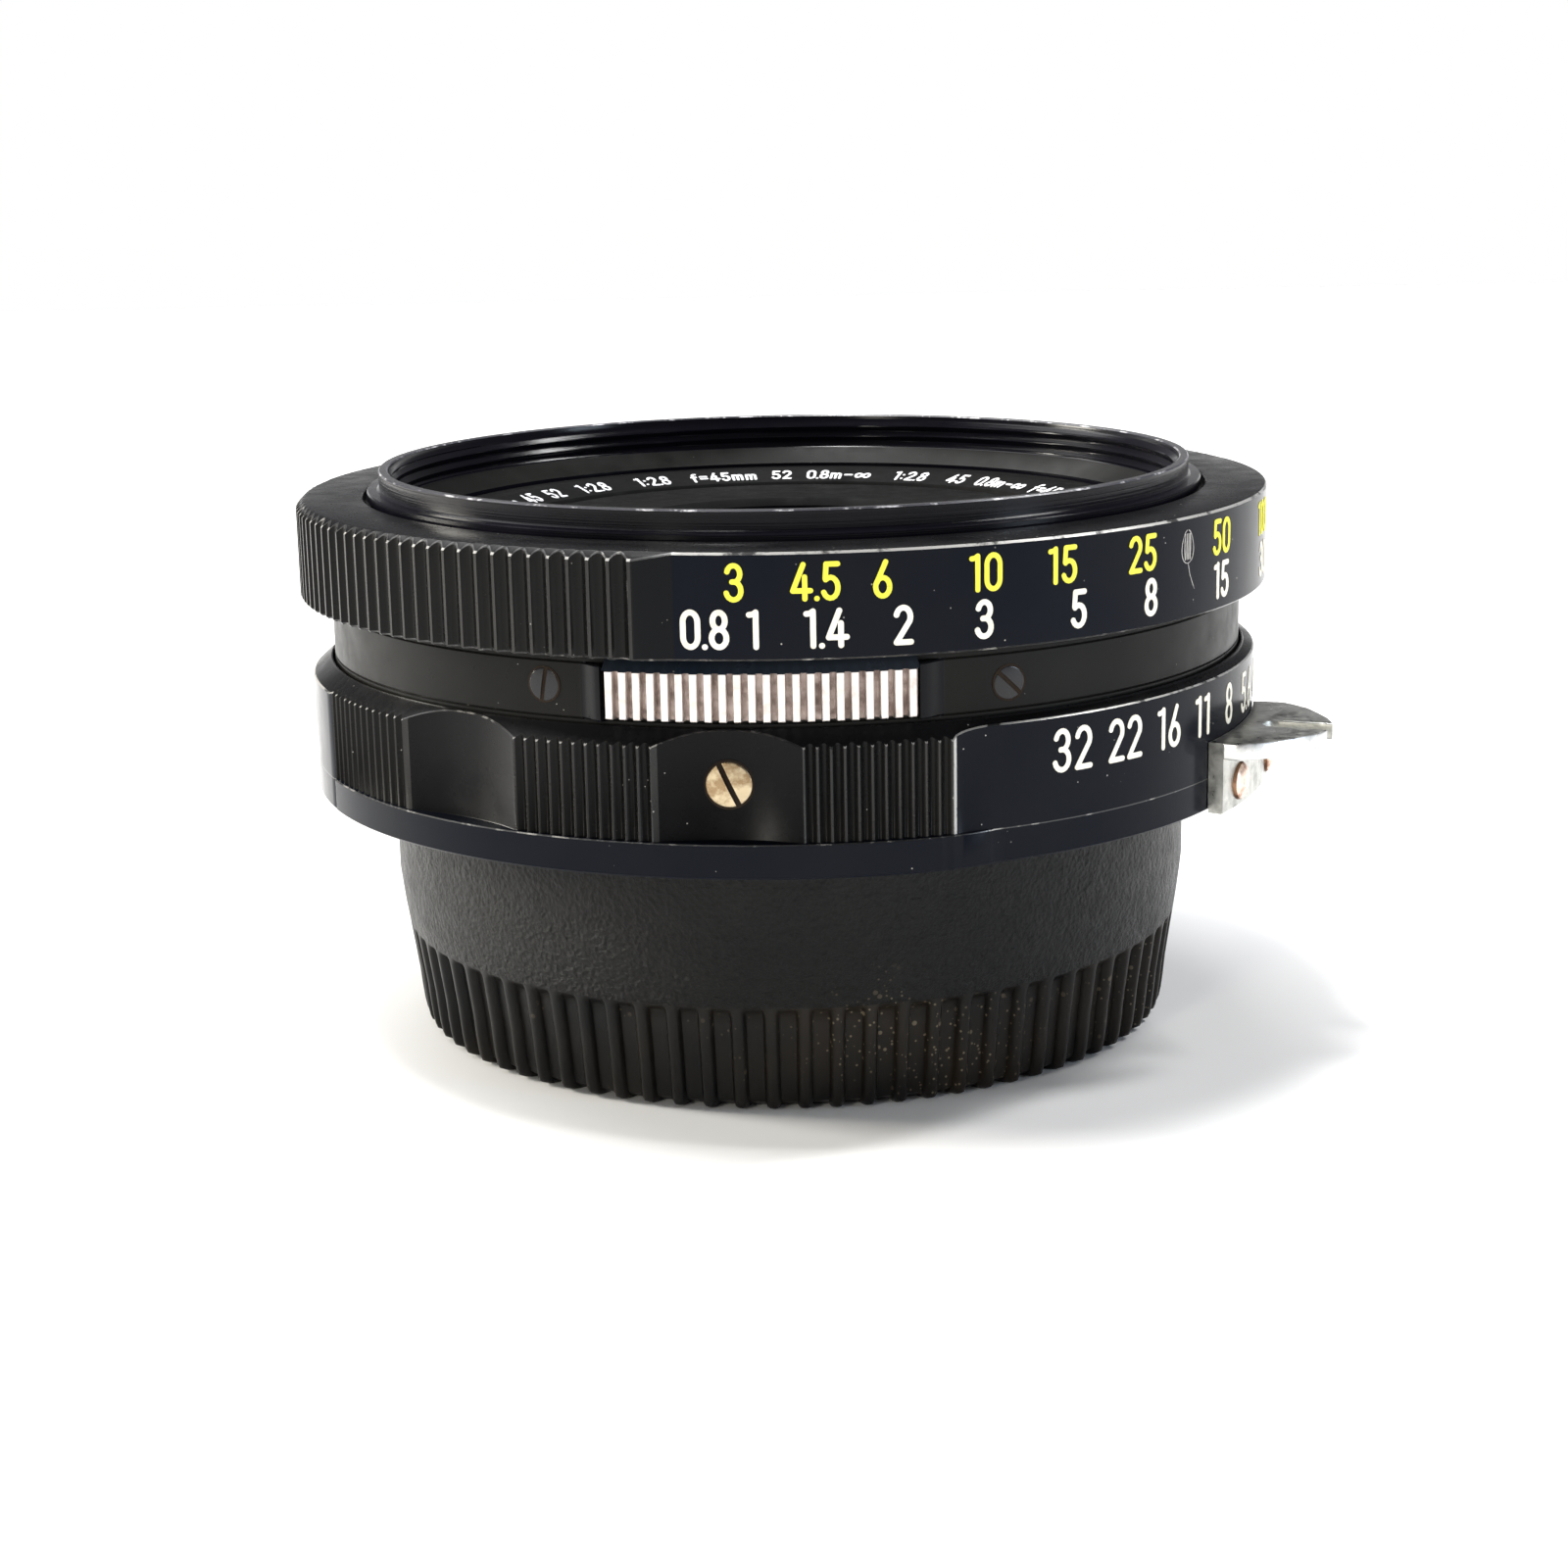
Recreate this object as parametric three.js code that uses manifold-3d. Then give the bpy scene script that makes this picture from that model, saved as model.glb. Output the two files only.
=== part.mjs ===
// A short camera lens of 45 mm with its screw-in front thread, focus ring, aperture ring, bayonet
// mount and rear cap. Millimetres, +Z along the lens axis towards the subject, z = 0 on the base of
// the cap. Azimuths are in degrees, 0 on the -Y side and growing towards +X.
import * as THREE from 'three';
import { mergeVertices } from 'three/addons/utils/BufferGeometryUtils.js';
import Module from 'manifold-3d';

const wasm = await Module();
wasm.setup();

// ---------------------------------------------------------------- driving dimensions
const RING_SEGMENTS = 40;
const INNER_SEGMENTS = 28;
const GLASS_SEGMENTS = 20;
const SCREW_SEGMENTS = 8;
const RUNNING_GAP = 0.3;
const CUT_PAST = 1;

const CAP_TOP = 15.7;
const CAP_FLOOR = 2.4;
const CAP_BORE_RADIUS = 24.2;
const CAP_RADIUS = 26.5;
const CAP_RIB_COUNT = 80;
const CAP_RIB_TOP = 6.9;
const CAP_RIB_HEIGHT = 0.45;
const CAP_RIB_RADIUS = 26.05;
const CAP_BASE_RADIUS = 25.0;
const CAP_LUG_AZIMUTHS = [90, 210, 330];

const FLANGE_PLANE = 16.0;
const FLANGE_RELIEF_PLANE = 16.15;
const FLANGE_RELIEF_RADIUS = 27.0;
const FLANGE_TOP = 17.2;
const FLANGE_RADIUS = 29.2;
const THROAT_RADIUS = 20.0;
const MOUNT_TUBE_RADIUS = 21.9;
const MOUNT_TUBE_END = 11.0;
const LEVER_LEDGE_RADIUS = 17.6;
const LEVER_LEDGE = [14.5, 15.1];
const BAYONET_TAB_RADIUS = 23.4;
const BAYONET_TAB_TOP = 12.6;
const BAYONET_TAB_AZIMUTHS = [30, 150, 270];
const MOUNT_SCREW_CIRCLE = 25.5;
const MOUNT_SCREW_COUNT = 5;
const MOUNT_SCREW_FIRST_AZIMUTH = 20;

const BARREL_RADIUS = 30.0;
const BARREL_BORE_RADIUS = 27.0;
const BARREL_WAIST_RADIUS = 28.6;
const BARREL_BOTTOM = 17.3;
const BARREL_STEP = 24.3;
const BARREL_TOP = 28.75;
const BARREL_FLOOR_TOP = 19.6;
const BARREL_FLOOR_RADIUS = 22.8;

const GRIP_RADIUS = 31.0;
const GRIP_ROOT_RADIUS = 30.5;
const GRIP_TOOTH_PITCH = 1.52;
const GRIP_BOTTOM = 25.4;
const GRIP_TOP = 28.2;
const GRIP_CENTRES = [-3, 177];
const GRIP_HALF_ANGLE = 17;
const GRIP_LAND_ANGLE = 3;
// Each barrel screw: azimuth, height, turn of its slot.
const BARREL_SCREWS = [[-27.9, 27.0, 80], [25.1, 26.7, 137], [152.1, 27.0, 10], [205.1, 26.7, 65]];
const BARREL_SCREW_RADIUS = 1.0;

const APERTURE_BOTTOM = 16.35;
const APERTURE_TOP = 24.9;
const APERTURE_BORE_RADIUS = 28.9;
const APERTURE_BAND_RADIUS = 31.0;
const APERTURE_BACK_BAND_RADIUS = 31.45;
const APERTURE_LAND_RADIUS = 31.4;
const APERTURE_FLUTE_RADIUS = 30.3;
const APERTURE_RIM_RADIUS = 31.5;
const APERTURE_RIM_TOP = 18.4;
const APERTURE_KNURL_PITCH = 1.5;
const APERTURE_KNURL_DEPTH = 0.4;
const APERTURE_LANDS = [[-66, -47.5], [-30.5, -14.5], [1.5, 17.3]];
const APERTURE_BAND_START = 22.3;
const APERTURE_SCREW = { azimuth: -6.5, height: 21.69, radius: 1.38, slotTurn: 115 };
const STOP_PITCH = 7.65;
const STOP_COUNT = 8;

const CLICK_AZIMUTH = 200;
const CLICK_HEIGHT = 18.45;
const CLICK_BALL_RADIUS = 0.65;

const FORK_AZIMUTH = 68.4;
const FORK_HALF_ANGLE = 12;
const FORK_PLATE = [19.65, 20.7];
const FORK_PLATE_CENTRE = 29.75;
const FORK_PLATE_RADIUS = 6.95;
const FORK_SLOT_WIDTH = 1.9;
const FORK_SLOT_END = 33.0;
const FORK_FOOT = [31.2, 32.05];
const FORK_FOOT_BOTTOM = 16.2;
const FORK_RIVET_AZIMUTHS = [61.3, 75.5];
const FORK_RIVET_HEIGHT = 17.8;
const FORK_RIVET_RADIUS = 1.18;

const FOCUS_BOTTOM = 29.05;
const FOCUS_TOP = 35.2;
const FOCUS_KNURL_RADIUS = 32.0;
const FOCUS_KNURL_DEPTH = 0.4;
const FOCUS_BAND_RADIUS = 31.65;
const FOCUS_BORE_RADIUS = 27.0;
const FOCUS_KNURL_PITCH = 2.25;
const FOCUS_KNURLS = [[-96, -16], [108.5, 176]];
const FOCUS_RAMP = 4.5;
const FOCUS_SCREW_CIRCLE = 28.1;
const FOCUS_SCREW_AZIMUTHS = [30, 150, 270];

const HELICOID_RADIUS = 26.8;
const HELICOID_BORE = 25.2;
const HELICOID_BOTTOM = 20.0;
const HELICOID_TOP = 33.2;
const HELICOID_FLANGE_RADIUS = 29.0;
const HELICOID_FLANGE = [29.2, 30.3];

const LENS_BARREL_RADIUS = 24.9;
const LENS_BARREL_BORE = 22.5;
const LENS_BARREL_BOTTOM = 19.9;
const LENS_BARREL_TOP = 31.4;
const KEY_AZIMUTHS = [60, 240];
const KEY_WIDTH = 3.0;
const KEY_TOP = 26.0;
const KEYWAY_TOP = 29.5;

const FRONT_GLASS_RADIUS = 10.6;
const REAR_GLASS_RADIUS = 8.6;

const BLADE_COUNT = 7;
const BLADE_THICKNESS = 0.2;
const BLADE_SPACING = 0.3;
const BLADE_STACK_BOTTOM = 23.3;
const BLADE_INNER = 7.6;
const BLADE_OUTER = 12.6;
const BLADE_ROOT_RADIUS = 15.3;
const BLADE_START = -2;
const BLADE_SPAN = 112;
const BLADE_PIVOT_CIRCLE = 14.3;
const BLADE_PIVOT_AZIMUTH = 3;
const BLADE_PIVOT_RADIUS = 0.4;
const BLADE_PIN_AZIMUTH = 12;
const BLADE_PIN_RADIUS = 0.35;
const BLADE_TURN = 26.7;
const DRIVE_TURN = 20;
const DRIVE_RING = [25.6, 26.2];

const LEVER_AZIMUTH = 150;
const LEVER_SWEEP = 22;
const LEVER_RING = [13.2, 14.0];
const LEVER_TIP = 8.5;
const STOP_SPRING_AZIMUTH = 125;

// ---------------------------------------------------------------- materials
const looks = {
  black_anodised: { color: 0x17181a, roughness: 0.42, metalness: 0.6 },
  matt_black: { color: 0x0c0c0d, roughness: 0.8, metalness: 0.2 },
  bright_alloy: { color: 0xcfc9bd, roughness: 0.35, metalness: 1 },
  grey_alloy: { color: 0x9a9b9d, roughness: 0.4, metalness: 1 },
  chromed_brass: { color: 0xbfc2c4, roughness: 0.22, metalness: 1 },
  brass: { color: 0xb48a4a, roughness: 0.4, metalness: 1 },
  nickel_steel: { color: 0x9f9384, roughness: 0.35, metalness: 1 },
  copper: { color: 0xb4633e, roughness: 0.4, metalness: 1 },
  blackened_steel: { color: 0x1c1d20, roughness: 0.35, metalness: 0.9 },
  coated_glass: { color: 0x2b2440, roughness: 0.05, metalness: 0 },
  black_plastic: { color: 0x101011, roughness: 0.55, metalness: 0 },
};

// ---------------------------------------------------------------- places
const { degToRad } = THREE.MathUtils;

function around(radius, azimuth) {
  const angle = degToRad(azimuth);
  return [radius * Math.sin(angle), -radius * Math.cos(angle)];
}

function at(geometry, radius, azimuth) {
  return geometry.translate(...around(radius, azimuth), 0);
}

// Turns a body from the frame where x points outwards, y along growing azimuth and z up.
function towards(geometry, azimuth) {
  return geometry.rotateZ(degToRad(azimuth - 90));
}

// Turns a body built upwards so that it points outwards at an azimuth and height.
function outwards(geometry, azimuth, height) {
  geometry.rotateZ(Math.PI / 2);
  geometry.rotateY(Math.PI / 2);
  geometry.translate(0, 0, height);
  return towards(geometry, azimuth);
}

// ---------------------------------------------------------------- closed shapes
// Leaves only positions, merges shared corners and turns every face outwards.
function closed(geometry) {
  geometry.deleteAttribute('normal');
  geometry.deleteAttribute('uv');
  const merged = mergeVertices(geometry, 1e-5);
  const corners = merged.attributes.position.array;
  const faces = merged.index.array;
  const corner = (face, i) => new THREE.Vector3().fromArray(corners, 3 * faces[face + i]);
  let volume = 0;
  for (let face = 0; face < faces.length; face += 3) {
    volume += corner(face, 0).dot(corner(face, 1).cross(corner(face, 2)));
  }
  if (volume < 0) {
    faces.reverse();
  }
  return merged;
}

// A turned body: profile points are [radius, height].
function turned(profile, segments = INNER_SEGMENTS) {
  const points = profile.map(([radius, height]) => new THREE.Vector2(radius, height));
  if (profile[0][0] > 0) {
    points.push(points[0].clone());
  }
  return closed(new THREE.LatheGeometry(points, segments).rotateX(Math.PI / 2));
}

function tube(inner, outer, [bottom, top], segments = INNER_SEGMENTS) {
  return turned([[inner, bottom], [outer, bottom], [outer, top], [inner, top]], segments);
}

function rod(radius, [bottom, top], segments = SCREW_SEGMENTS) {
  return turned([[0, bottom], [radius, bottom], [radius, top], [0, top]], segments);
}

// A flat outline raised between two heights. Its lower end can be scaled.
function raised(shape, [bottom, top], bottomScale = 1) {
  const geometry = new THREE.ExtrudeGeometry(shape, { depth: top - bottom, bevelEnabled: false });
  const { position } = geometry.attributes;
  for (let i = 0; i < position.count; i += 1) {
    if (position.getZ(i) === 0) {
      position.setXY(i, position.getX(i) * bottomScale, position.getY(i) * bottomScale);
    }
  }
  return closed(geometry.translate(0, 0, bottom));
}

// A prism whose outline points are [radius, azimuth].
function prism(outline, heights, bottomScale = 1) {
  const corners = outline.map(([radius, azimuth]) => new THREE.Vector2(...around(radius, azimuth)));
  return raised(new THREE.Shape(corners), heights, bottomScale);
}

function arc(radius, from, to, steps) {
  const points = [];
  for (let i = 0; i <= steps; i += 1) {
    points.push([radius, from + ((to - from) * i) / steps]);
  }
  return points;
}

function sector(inner, outer, [from, to], heights) {
  const steps = Math.max(2, Math.ceil((to - from) / 8));
  return prism([...arc(outer, from, to, steps), ...arc(inner, to, from, steps)], heights);
}

// A box in the frame of one azimuth: outwards, along growing azimuth, and up.
function block(outward, across, heights, azimuth) {
  const spans = [outward, across, heights];
  const geometry = new THREE.BoxGeometry(...spans.map(([low, high]) => high - low));
  geometry.translate(...spans.map(([low, high]) => (high + low) / 2));
  return towards(closed(geometry), azimuth);
}

// Ridges of a knurl as outline points, evenly filling the sector from its first to its last ridge.
function knurl([from, to], pitch, tip, depth) {
  const count = Math.round((to - from) / pitch);
  const step = (to - from) / count;
  const points = [];
  for (let i = 0; i < count; i += 1) {
    points.push([tip, from + (i + 0.1) * step]);
    points.push([tip - depth, from + (i + 0.55) * step]);
  }
  points.push([tip, to]);
  return points;
}

// A coil spring standing on z = 0.
function coil(turns, coilRadius, wireRadius, length) {
  const stepsPerTurn = 6;
  const steps = turns * stepsPerTurn;
  const points = [];
  for (let i = 0; i <= steps; i += 1) {
    const angle = (2 * Math.PI * i) / stepsPerTurn;
    const height = (length * i) / steps;
    points.push(new THREE.Vector3(coilRadius * Math.cos(angle), coilRadius * Math.sin(angle), height));
  }
  const wireCorners = [0, 90, 180, 270].map((turn) => new THREE.Vector2(...around(wireRadius, turn)));
  const wire = new THREE.Shape(wireCorners);
  const extrudePath = new THREE.CatmullRomCurve3(points);
  return closed(new THREE.ExtrudeGeometry(wire, { steps, bevelEnabled: false, extrudePath }));
}

// A glass element whose two shallow curved faces are each given as [edge height, centre height].
function element(radius, back, front) {
  const rings = 3;
  const face = ([edge, centre], ring) => {
    const share = ring / rings;
    return [radius * share, edge + (centre - edge) * (1 - share * share)];
  };
  const profile = [];
  for (let ring = 0; ring <= rings; ring += 1) {
    profile.push(face(back, ring));
  }
  for (let ring = rings; ring >= 0; ring -= 1) {
    profile.push(face(front, ring));
  }
  return turned(profile, GLASS_SEGMENTS);
}

// ---------------------------------------------------------------- cutting and joining
function toManifold(geometry) {
  const vertProperties = new Float32Array(geometry.attributes.position.array);
  const triVerts = new Uint32Array(geometry.index.array);
  return new wasm.Manifold(new wasm.Mesh({ numProp: 3, vertProperties, triVerts }));
}

function fromManifold(manifold) {
  const { vertProperties, triVerts } = manifold.getMesh();
  const geometry = new THREE.BufferGeometry();
  geometry.setAttribute('position', new THREE.BufferAttribute(new Float32Array(vertProperties), 3));
  geometry.setIndex(new THREE.BufferAttribute(new Uint32Array(triVerts), 1));
  return geometry;
}

function join(bodies) {
  return fromManifold(bodies.map(toManifold).reduce((whole, body) => whole.add(body)));
}

function cut(body, cutters) {
  const solid = toManifold(body);
  return fromManifold(cutters.map(toManifold).reduce((rest, cutter) => rest.subtract(cutter), solid));
}

function common(body, envelope) {
  return fromManifold(toManifold(body).intersect(toManifold(envelope)));
}

// One slotted screw built along +Z, with its head's face at z = 0.
function slottedScrew({ headRadius, headHeight, shankRadius, length, slotTurn }) {
  const body = turned([
    [0, -length], [shankRadius, -length], [shankRadius, -headHeight],
    [headRadius, -headHeight], [headRadius, 0], [0, 0],
  ], SCREW_SEGMENTS);
  const slot = closed(new THREE.BoxGeometry(3 * headRadius, 0.36 * headRadius, 0.8 * headHeight));
  return cut(body, [slot.rotateZ(degToRad(slotTurn))]);
}

// ---------------------------------------------------------------- the group
const lens = new THREE.Group();
lens.name = 'prime_camera_lens';

function addPart(name, geometry, look) {
  geometry.computeVertexNormals();
  const mesh = new THREE.Mesh(geometry, new THREE.MeshStandardMaterial(looks[look]));
  mesh.name = name;
  lens.add(mesh);
}

// ---------------------------------------------------------------- rear cap
function rearCap() {
  const pitch = 360 / CAP_RIB_COUNT;
  const firstRib = 0.3 * pitch;
  const outline = knurl([firstRib, firstRib + 360], pitch, CAP_RIB_RADIUS, CAP_RIB_HEIGHT).slice(0, -1);
  const ribbed = prism(outline, [0, CAP_RIB_TOP], CAP_BASE_RADIUS / CAP_RIB_RADIUS);
  const upper = turned([
    [CAP_BORE_RADIUS - 2, 3], [24.8, 3], [25.4, CAP_RIB_TOP - 0.2], [26.1, CAP_RIB_TOP + 0.3],
    [CAP_RADIUS, 10.4], [CAP_RADIUS, CAP_TOP], [CAP_BORE_RADIUS - 2, CAP_TOP],
  ], RING_SEGMENTS);
  const hollow = rod(CAP_BORE_RADIUS, [CAP_FLOOR, CAP_TOP + CUT_PAST], RING_SEGMENTS);
  const lugs = CAP_LUG_AZIMUTHS.map((azimuth) => (
    sector(CAP_BORE_RADIUS - 2, CAP_BORE_RADIUS + 0.5, [azimuth - 20, azimuth + 20], [13.0, 14.5])));
  return join([cut(join([ribbed, upper]), [hollow]), ...lugs]);
}
addPart('rear_cap', rearCap(), 'black_plastic');

// ---------------------------------------------------------------- bayonet mount
const mountScrewAzimuths = [];
for (let i = 0; i < MOUNT_SCREW_COUNT; i += 1) {
  mountScrewAzimuths.push(MOUNT_SCREW_FIRST_AZIMUTH + (360 * i) / MOUNT_SCREW_COUNT);
}

function bayonetMount() {
  const disc = turned([
    [THROAT_RADIUS, MOUNT_TUBE_END], [MOUNT_TUBE_RADIUS, MOUNT_TUBE_END],
    [MOUNT_TUBE_RADIUS, FLANGE_RELIEF_PLANE], [FLANGE_RELIEF_RADIUS, FLANGE_RELIEF_PLANE],
    [FLANGE_RELIEF_RADIUS, FLANGE_PLANE], [FLANGE_RADIUS, FLANGE_PLANE], [FLANGE_RADIUS, FLANGE_TOP],
    [THROAT_RADIUS, FLANGE_TOP], [THROAT_RADIUS, LEVER_LEDGE[1]], [LEVER_LEDGE_RADIUS, LEVER_LEDGE[1]],
    [LEVER_LEDGE_RADIUS, LEVER_LEDGE[0]], [THROAT_RADIUS, LEVER_LEDGE[0]],
  ], RING_SEGMENTS);
  const tabs = BAYONET_TAB_AZIMUTHS.map((azimuth) => (
    sector(MOUNT_TUBE_RADIUS - 1, BAYONET_TAB_RADIUS, [azimuth - 29, azimuth + 29],
      [MOUNT_TUBE_END, BAYONET_TAB_TOP])));
  const holes = mountScrewAzimuths.flatMap((azimuth) => [
    at(rod(1.7, [FLANGE_PLANE - CUT_PAST, 16.95]), MOUNT_SCREW_CIRCLE, azimuth),
    at(rod(1.0, [FLANGE_PLANE, FLANGE_TOP + CUT_PAST]), MOUNT_SCREW_CIRCLE, azimuth),
  ]);
  return cut(join([disc, ...tabs]), holes);
}
addPart('bayonet_mount', bayonetMount(), 'chromed_brass');

mountScrewAzimuths.forEach((azimuth, i) => {
  const screw = slottedScrew({
    headRadius: 1.4, headHeight: 0.75, shankRadius: 0.7, length: 2.75, slotTurn: 30 * i,
  });
  screw.rotateX(Math.PI);
  screw.translate(0, 0, FLANGE_PLANE + 0.05);
  addPart(`mount_screw_${i + 1}`, at(screw, MOUNT_SCREW_CIRCLE, azimuth), 'nickel_steel');
});

// ---------------------------------------------------------------- stop-down lever and light baffle
function lightBaffle() {
  const plate = turned([[13.2, 11.9], [14.0, 11.5], [19.7, 11.5], [19.7, 12.3], [14.2, 12.3]]);
  const window = sector(17.4, 21, [LEVER_AZIMUTH - 6, LEVER_AZIMUTH + LEVER_SWEEP + 6], [11, 13]);
  return cut(plate, [window]);
}
addPart('light_baffle', lightBaffle(), 'matt_black');

function stopDownLever() {
  const ring = tube(16.6, 19.6, LEVER_RING);
  const finger = block([18.0, 19.1], [-1.0, 1.0], [LEVER_TIP, LEVER_RING[1] - 0.3], LEVER_AZIMUTH);
  return join([ring, finger]);
}
addPart('stop_down_lever', stopDownLever(), 'grey_alloy');

function stopDownSpring() {
  const length = 9;
  const spring = coil(8, 0.65, 0.15, length).translate(0, 0, -length / 2);
  spring.rotateX(Math.PI / 2);
  spring.translate(18.3, 0, 16.1);
  return towards(spring, STOP_SPRING_AZIMUTH);
}
addPart('stop_down_spring', stopDownSpring(), 'nickel_steel');

// ---------------------------------------------------------------- fixed barrel
function gripLand(centre, side) {
  const near = centre + side * (GRIP_HALF_ANGLE + 0.3);
  const far = near + side * GRIP_LAND_ANGLE;
  return prism([
    [BARREL_RADIUS - 0.6, near], [GRIP_RADIUS, near], [GRIP_RADIUS, near + side * 1.2],
    [BARREL_RADIUS - 0.1, far], [BARREL_RADIUS - 0.6, far],
  ], [GRIP_BOTTOM - 0.2, GRIP_TOP + 0.2]);
}

function fixedBarrel() {
  const body = turned([
    [BARREL_FLOOR_RADIUS, BARREL_BOTTOM], [BARREL_WAIST_RADIUS, BARREL_BOTTOM],
    [BARREL_WAIST_RADIUS, BARREL_STEP], [BARREL_RADIUS, BARREL_STEP], [BARREL_RADIUS, BARREL_TOP],
    [BARREL_BORE_RADIUS, BARREL_TOP], [BARREL_BORE_RADIUS, BARREL_FLOOR_TOP],
    [BARREL_FLOOR_RADIUS, BARREL_FLOOR_TOP],
  ], RING_SEGMENTS);
  const lands = GRIP_CENTRES.flatMap((centre) => [gripLand(centre, -1), gripLand(centre, 1)]);
  const screwHoles = BARREL_SCREWS.flatMap(([azimuth, height]) => [
    outwards(rod(BARREL_SCREW_RADIUS + 0.2, [BARREL_RADIUS - 0.85, BARREL_RADIUS + 1]), azimuth, height),
    outwards(rod(0.7, [27.6, BARREL_RADIUS]), azimuth, height),
  ]);
  const mountHoles = mountScrewAzimuths.map((azimuth) => (
    at(rod(1.0, [BARREL_BOTTOM - CUT_PAST, 19.0]), MOUNT_SCREW_CIRCLE, azimuth)));
  const clickHole = outwards(rod(CLICK_BALL_RADIUS + 0.2, [24.6, 30]), CLICK_AZIMUTH, CLICK_HEIGHT);
  return cut(join([body, ...lands]), [...screwHoles, ...mountHoles, clickHole]);
}
addPart('fixed_barrel', fixedBarrel(), 'black_anodised');

GRIP_CENTRES.forEach((centre, i) => {
  const ends = [centre - GRIP_HALF_ANGLE, centre + GRIP_HALF_ANGLE];
  const outline = [
    ...knurl(ends, GRIP_TOOTH_PITCH, GRIP_RADIUS, GRIP_RADIUS - GRIP_ROOT_RADIUS),
    ...arc(BARREL_RADIUS + 0.1, ends[1], ends[0], 6),
  ];
  addPart(`mounting_grip_${i + 1}`, prism(outline, [GRIP_BOTTOM, GRIP_TOP]), 'bright_alloy');
});

BARREL_SCREWS.forEach(([azimuth, height, slotTurn], i) => {
  const screw = slottedScrew({
    headRadius: BARREL_SCREW_RADIUS, headHeight: 0.75, shankRadius: 0.5, length: 2.25, slotTurn,
  });
  screw.translate(0, 0, BARREL_RADIUS + 0.05);
  addPart(`barrel_screw_${i + 1}`, outwards(screw, azimuth, height), 'blackened_steel');
});

KEY_AZIMUTHS.forEach((azimuth, i) => {
  const heights = [BARREL_FLOOR_TOP + 0.1, KEY_TOP];
  const key = block([23.2, 24.6], [-KEY_WIDTH / 2, KEY_WIDTH / 2], heights, azimuth);
  addPart(`helicoid_key_${i + 1}`, key, 'brass');
});

const clickBall = closed(new THREE.SphereGeometry(CLICK_BALL_RADIUS, 8, 5)).translate(0, 0, 28.1);
addPart('click_ball', outwards(clickBall, CLICK_AZIMUTH, CLICK_HEIGHT), 'nickel_steel');

const clickSpring = coil(4, 0.45, 0.12, 2.4).translate(0, 0, 24.85);
addPart('click_spring', outwards(clickSpring, CLICK_AZIMUTH, CLICK_HEIGHT), 'nickel_steel');

// ---------------------------------------------------------------- aperture ring
// The concave flute between two lands.
function flute(from, to) {
  const points = [];
  for (const share of [-0.7, -0.35, 0, 0.35, 0.7]) {
    const depth = (APERTURE_LAND_RADIUS - APERTURE_FLUTE_RADIUS) * (1 - share * share);
    points.push([APERTURE_LAND_RADIUS - depth, (from + to) / 2 + (share * (to - from)) / 2]);
  }
  return points;
}

// Half a turn of the ring's outline: three knurled lands, two flutes and a plain number band.
function apertureHalf(bandRadius) {
  const [left, middle, right] = APERTURE_LANDS;
  const land = (ends) => knurl(ends, APERTURE_KNURL_PITCH, APERTURE_LAND_RADIUS, APERTURE_KNURL_DEPTH);
  return [
    ...land(left), ...flute(left[1], middle[0]),
    ...land(middle), ...flute(middle[1], right[0]),
    ...land(right), ...arc(bandRadius, APERTURE_BAND_START, left[0] + 179.6, 11),
  ];
}

function apertureRing() {
  const backHalf = apertureHalf(APERTURE_BACK_BAND_RADIUS);
  const outline = [
    ...apertureHalf(APERTURE_BAND_RADIUS), ...backHalf.map(([radius, azimuth]) => [radius, azimuth + 180]),
  ];
  const rims = [0, 180].map((turn) => sector(
    APERTURE_BORE_RADIUS + 0.8, APERTURE_RIM_RADIUS,
    [APERTURE_LANDS[0][0] + turn, APERTURE_BAND_START - 0.8 + turn], [APERTURE_BOTTOM, APERTURE_RIM_TOP],
  ));
  const envelope = turned([
    [27, APERTURE_BOTTOM], [31.8, APERTURE_BOTTOM], [31.8, 23.6], [30.32, APERTURE_TOP],
    [27, APERTURE_TOP],
  ], RING_SEGMENTS);
  const bore = turned([
    [0, APERTURE_BOTTOM - CUT_PAST], [FLANGE_RADIUS + RUNNING_GAP, APERTURE_BOTTOM - CUT_PAST],
    [FLANGE_RADIUS + RUNNING_GAP, 17.6], [APERTURE_BORE_RADIUS, 17.6],
    [APERTURE_BORE_RADIUS, BARREL_STEP - RUNNING_GAP], [BARREL_RADIUS + 0.18, BARREL_STEP - RUNNING_GAP],
    [BARREL_RADIUS + 0.18, APERTURE_TOP + CUT_PAST], [0, APERTURE_TOP + CUT_PAST],
  ], RING_SEGMENTS);
  const rivetHoles = FORK_RIVET_AZIMUTHS.map((rivetAzimuth) => (
    outwards(rod(0.8, [29.0, 32]), rivetAzimuth, FORK_RIVET_HEIGHT)));
  const { azimuth, height, radius } = APERTURE_SCREW;
  const screwHoles = [
    outwards(rod(radius + 0.2, [29.7, 33]), azimuth, height),
    outwards(rod(0.8, [28, 30]), azimuth, height),
  ];
  const notches = [];
  for (let stop = 0; stop < STOP_COUNT; stop += 1) {
    notches.push(at(rod(0.5, [17.2, 19.8], 6), APERTURE_BORE_RADIUS, CLICK_AZIMUTH - stop * STOP_PITCH));
  }
  const blank = common(join([prism(outline, [APERTURE_BOTTOM, APERTURE_TOP]), ...rims]), envelope);
  return cut(blank, [bore, ...rivetHoles, ...screwHoles, ...notches]);
}
addPart('aperture_ring', apertureRing(), 'black_anodised');

const apertureScrew = slottedScrew({
  headRadius: APERTURE_SCREW.radius, headHeight: 0.6, shankRadius: 0.6, length: 1.4,
  slotTurn: APERTURE_SCREW.slotTurn,
}).translate(0, 0, 30.5);
addPart('aperture_ring_screw', outwards(apertureScrew, APERTURE_SCREW.azimuth, APERTURE_SCREW.height),
  'nickel_steel');

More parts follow.
